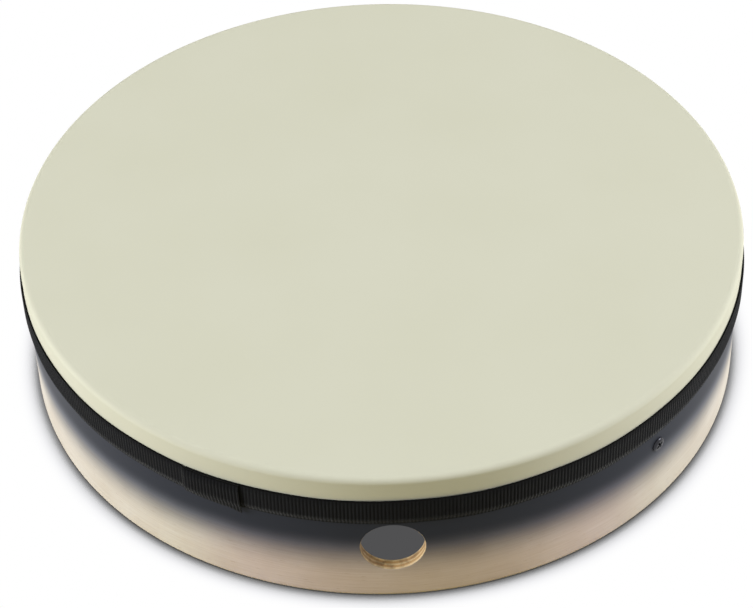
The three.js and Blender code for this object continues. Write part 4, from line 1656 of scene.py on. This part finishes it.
@dataclass
class SnareStrand:
    """One twisted gut strand, from its wound stopper knot over the saddle pin to its clamped tail."""

    line: Line
    number: int
    finish: bpy.types.Material
    radius: float = 0.6
    butt_bend: float = 2.5
    knot_radius: float = 1.9
    knot_turns: float = 2.4
    knot_gap: float = 0.3
    tongue: float = 2.0
    step: float = 0.5
    sides: int = 12
    plies: int = 3
    ply_relief: float = 0.09
    twist_pitch: float = 4.2
    bend_points: int = 13
    knot_points: int = 64
    travel_from: float = 0.0
    travel_over: float = 8.0
    travel_slant: float = 0.5

    def tube(self, name: str, path: np.ndarray, across: np.ndarray) -> Workpiece:
        """Wraps a flat grid round a path as a twisted tube with closed ends.

        Args:
            name: the piece's name.
            path: evenly spaced points along the tube's middle.
            across: for each point, a unit vector square to the path.

        Returns:
            The closed tube.
        """
        runs = np.linalg.norm(np.diff(path, axis=0), axis=1)
        length = float(runs.sum())
        count = len(path) - 1
        piece = Workpiece.grid(name, (count, self.sides), (length, 2 * math.pi), (0, 0, 0))
        flat = piece.points()
        piece.map_unrolled(flat[:, :2] * (1, self.radius))
        index = np.rint((flat[:, 0] / length + 0.5) * count).astype(int)
        ahead = np.gradient(path, axis=0)
        ahead /= np.linalg.norm(ahead, axis=1)[:, None]
        upright = np.cross(ahead, across)
        angle = flat[:, 1]
        twist = 2 * math.pi * flat[:, 0] / self.twist_pitch
        reach = self.radius * (1 - self.ply_relief * (1 - np.abs(np.cos(self.plies * (angle - twist) / 2))))
        offset = np.cos(angle)[:, None] * across[index] + np.sin(angle)[:, None] * upright[index]
        piece.move_points(path[index] + reach[:, None] * offset)
        piece.weld(outward=False)
        piece.select(Pick.EDGES, lambda edge: edge.is_boundary)
        bpy.ops.mesh.fill_holes(sides=0)
        piece.weld()
        return piece

    def build(self) -> None:
        """Models the strand and bends it between the drum and the carriage."""
        node = f"snare_strand_{self.number}"
        span = self.line.span(node)
        pin = self.line.span("saddle_pin").middle
        side = span.middle.y
        level, fall = span.high.z - self.radius, span.high.x - self.radius
        butt = span.low.x + self.knot_radius
        wrap = fall - pin.x
        under = self.line.span("butt_plate").high.z - self.tongue - self.knot_gap
        knot_low = under - 2 * self.knot_radius

        def arc(x: float, z: float, radius: float, start: float) -> list[tuple[float, float]]:
            """Points round a quarter bend in the strand's upright plane."""
            angles = np.linspace(start, start - math.pi / 2, self.bend_points)
            return [(x + radius * math.cos(a), z + radius * math.sin(a)) for a in angles]

        bend = self.butt_bend
        corners = np.array([
            (butt, knot_low), *arc(butt + bend, level - bend, bend, math.pi),
            *arc(pin.x, pin.z, wrap, math.pi / 2), (fall, span.low.z)])
        run = np.concatenate([[0], np.cumsum(np.linalg.norm(np.diff(corners, axis=0), axis=1))])
        even = np.linspace(0, run[-1], round(run[-1] / self.step) + 1)
        flat = np.column_stack([np.interp(even, run, corners[:, axis]) for axis in (0, 1)])
        path = np.column_stack([flat[:, 0], np.full(len(flat), side), flat[:, 1]])
        strand = self.tube(f"snare_gut_{self.number}", path, np.tile((0.0, 1.0, 0.0), (len(path), 1)))

        turns = np.linspace(0, 2 * math.pi * self.knot_turns, self.knot_points)
        around = np.column_stack([np.cos(turns), np.sin(turns), np.zeros(self.knot_points)])
        coil = around * (self.knot_radius - self.radius) + np.array((butt, side, 0))
        coil[:, 2] = np.linspace(under - self.radius, knot_low + self.radius, self.knot_points)
        strand.take(self.tube("knot", coil, around))
        strand.smooth(angle=60)
        attach(strand.settle(self.line.turn), self.finish, node, None)
        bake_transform(strand.obj)


def eye_or_mirror(add: Add) -> bpy.types.Node:
    """Adds nodes that tell the rays of the eye and of reflections from those that carry light.

    Args:
        add: adds a node to the floor or to the surround.

    Returns:
        A node that gives one for a ray that is seen, and nought for one that only lights.
    """
    path = add("LightPath")
    mirror = add("Math", {
        0: path.outputs["Is Glossy Ray"], 1: path.outputs["Is Transmission Ray"]}, operation="MAXIMUM")
    return add("Math", {0: path.outputs["Is Camera Ray"], 1: mirror}, operation="MAXIMUM")


@dataclass(frozen=True)
class WhiteFloor(Finish):
    """A floor that looks white, with a soft contact shadow round the drum's foot, and a flat grey of
    painted shade under the drum.

    It lights the drum as a tan card in front and a grey one at each side would, glows white under the
    drum's open rim as painted light for the drum's inside, and isn't there when it is seen from below.
    """

    drum_radius: float
    rim_inset: float = 2.0
    # Painted shade: the flat grey that the eye sees on the floor under the drum, through the thumb hole
    under_drum_shade: str = "#515152"
    contact_reach: float = 14.0
    contact_samples: int = 16
    contact_stops: tuple[tuple[float, str], ...] = (
        (0.0, "#2a2a2b"), (0.45, "#585755"), (0.5, "#6a6866"), (0.57, "#919294"), (0.635, "#c0c0c1"),
        (0.7, "#dedee0"), (0.8, "#f0f0f2"), (0.9, "#fcfcfd"), (1.0, "#ffffff"))
    # Painted light: the white glow of the floor under the drum, which lights the drum's inside
    daylight: str = "#ffffff"
    open_back_light: float = 1.15
    card_tan: str = "#b3a24a"
    card_grey: str = "#b3ada3"
    card_half: float = 80.0
    card_fade: float = 140.0

    def shade(self, add: Add) -> bpy.types.Node:
        """Builds what the eye sees, what lights the drum and what is seen from below.

        Args:
            add: adds a node to the new material.

        Returns:
            The floor's shader.
        """
        geometry = add("NewGeometry")
        position = geometry.outputs["Position"]
        radius = add("VectorMath", {0: position}, operation="LENGTH")
        rim = (self.drum_radius - self.rim_inset) * MM
        under = add("Math", {0: radius, 1: rim}, operation="LESS_THAN")
        reach = self.contact_reach * MM
        contact = add("AmbientOcclusion", {"Distance": reach}, samples=self.contact_samples)
        shadow = add("ValToRGB", {"Fac": contact.outputs["AO"]}, stops=self.contact_stops)
        # Under the drum the eye sees a flat grey glow, painted shade for the dark inside
        seen = add("Mix", {0: under, 6: shadow, 7: self.under_drum_shade}, data_type="RGBA")
        glow = add("Emission", {"Color": seen, "Strength": 1.0})

        place = add("SeparateXYZ", {0: position})
        aside = add("Math", {0: place}, operation="ABSOLUTE")
        beside = add("MapRange", {
            "Value": aside, "From Min": self.card_half * MM,
            "From Max": (self.card_half + self.card_fade) * MM}, interpolation_type="SMOOTHSTEP")
        bounce = add("Mix", {0: beside, 6: self.card_tan, 7: self.card_grey}, data_type="RGBA")
        cards = add("BsdfDiffuse", {"Color": bounce})
        # Painted light: under the drum the floor glows white for the rays that carry light
        day = add("Emission", {"Color": self.daylight, "Strength": self.open_back_light})
        lit = add("MixShader", {0: under, 1: cards, 2: day})
        above = add("MixShader", {0: eye_or_mirror(add), 1: lit, 2: glow})
        below = add("BsdfTransparent")
        return add("MixShader", {0: geometry.outputs["Backfacing"], 1: above, 2: below})


@dataclass
class Studio:
    """The camera at the photograph's angle, a white floor and soft light from both sides.

    The frame's width and the focal length are in the photograph's pixels. The floor's and the lamps'
    sizes and places are in metres.
    """

    drum_radius: float
    frame_width: float = 753.0
    focal: float = 2430.26
    distance: float = 1429.91
    azimuth: float = math.radians(-0.47)
    elevation: float = math.radians(43.6566)
    roll: float = math.radians(-1.6096)
    pan: float = math.radians(0.1525)
    tilt: float = math.radians(0.6334)
    sensor: float = 36.0
    floor_radius: float = 6.0
    floor_sides: int = 96
    left_lamp: Point = (-3.35, -0.75, 1.7)
    right_lamp: Point = (3.4, 0.08, 1.7)
    lamp_size: float = 1.8
    lamp_power: float = 143.0
    lamp_colour: str = "#fafbff"
    surround: str = "#ffffff"
    sky_light: float = 0.175
    low_light: float = 0.7

    def add_camera(self) -> None:
        """Adds the camera, turned about its own axes after it is aimed at the drum's base."""
        facing = Matrix.Rotation(self.azimuth, 4, "Z")
        facing @= Matrix.Rotation(math.pi / 2 - self.elevation, 4, "X")
        place = facing @ Vector((0, 0, self.distance * MM))
        for turn, axis in ((self.pan, "Y"), (self.tilt, "X"), (self.roll, "Z")):
            facing @= Matrix.Rotation(turn, 4, axis)
        bpy.ops.object.camera_add()
        camera = bpy.context.active_object
        camera.matrix_world = Matrix.Translation(place) @ facing
        camera.data.sensor_width = self.sensor
        camera.data.lens = self.focal * self.sensor / self.frame_width
        bpy.context.scene.camera = camera

    def add_floor(self) -> None:
        """Adds the floor."""
        leave_edit_mode()
        bpy.ops.mesh.primitive_circle_add(
            vertices=self.floor_sides, radius=self.floor_radius, fill_type="NGON")
        floor = bpy.context.active_object
        floor.name = "floor"
        floor.data.materials.append(WhiteFloor("white_floor", self.drum_radius).make())

    def add_lamp(self, name: str, place: Point) -> None:
        """Adds a square soft lamp that points at the drum.

        Args:
            name: the lamp's name.
            place: where it stands, in metres.
        """
        facing = Vector(place).to_track_quat("Z", "Y")
        bpy.ops.object.light_add(type="AREA", location=place, rotation=facing.to_euler())
        lamp = bpy.context.active_object
        lamp.name = name
        lamp.data.size = self.lamp_size
        lamp.data.energy = self.lamp_power
        lamp.data.color = linear(self.lamp_colour)[:3]

    def add_world(self) -> None:
        """Adds an even white surround that gives the drum only a little light."""
        world = bpy.data.worlds.new("white_surround")
        bpy.context.scene.world = world
        world.use_nodes = True
        world.node_tree.nodes.clear()
        add = partial(add_node, world.node_tree)
        way = add("TexCoord").outputs["Generated"]
        facing = add("SeparateXYZ", {0: way})
        below = add("Math", {0: facing.outputs["Z"], 1: 0.0}, operation="LESS_THAN")
        light = add("MapRange", {"Value": below, "To Min": self.sky_light, "To Max": self.low_light})
        level = add("MapRange", {"Value": eye_or_mirror(add), "To Min": light, "To Max": 1.0})
        sky = add("Background", {"Color": self.surround, "Strength": level})
        add("OutputWorld", {"Surface": sky})

    def build(self) -> None:
        """Adds the camera, floor, surround and lamps."""
        bpy.context.scene.view_settings.view_transform = "Standard"
        self.add_camera()
        self.add_floor()
        self.add_world()
        self.add_lamp("left_softbox", self.left_lamp)
        self.add_lamp("right_softbox", self.right_lamp)


def main() -> None:
    """Builds the studio and the drum's pieces in order."""
    logging.basicConfig(level=logging.INFO, format="%(message)s")
    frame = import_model()
    whole = Line(frame["nodes"])
    strainer_at = whole.span("tension_screw").middle
    snare_turn = math.atan2(strainer_at.y, strainer_at.x)
    shell = PlywoodShell(whole, snare_turn)
    Studio(shell.radius).build()
    shell.build()
    FilmHead(whole).build()
    EdgeRibbon(whole, whole.span("drum_head").high.x, shell.radius).build()

    nickel = Metal("nickel_plated_steel", "#cfccc5", gloss=0.2, dull=0.36).make()
    black_nickel = Metal("black_nickel_plate", "#37373b", gloss=0.2, dull=0.3).make()
    brass = Metal("turned_brass", "#d6b56c", gloss=0.22, dull=0.38).make()
    gut = Gut("twisted_gut").make()
    strainer = Line(whole.nodes, snare_turn)
    butt = Line(whole.nodes, snare_turn + math.pi)
    StrainerBracket(strainer, nickel).build()
    Carriage(strainer, brass, nickel).build()
    Thumbscrew(strainer, brass, nickel).build()
    ButtBracket(butt, nickel).build()
    WallFixing(strainer, "strainer", "strainer_bracket", shell.radius, black_nickel, nickel).build()
    WallFixing(butt, "butt", "butt_plate", shell.radius, black_nickel, nickel).build()
    for number in (1, 2):
        SnareStrand(strainer, number, gut).build()


if __name__ == "__main__":
    main()
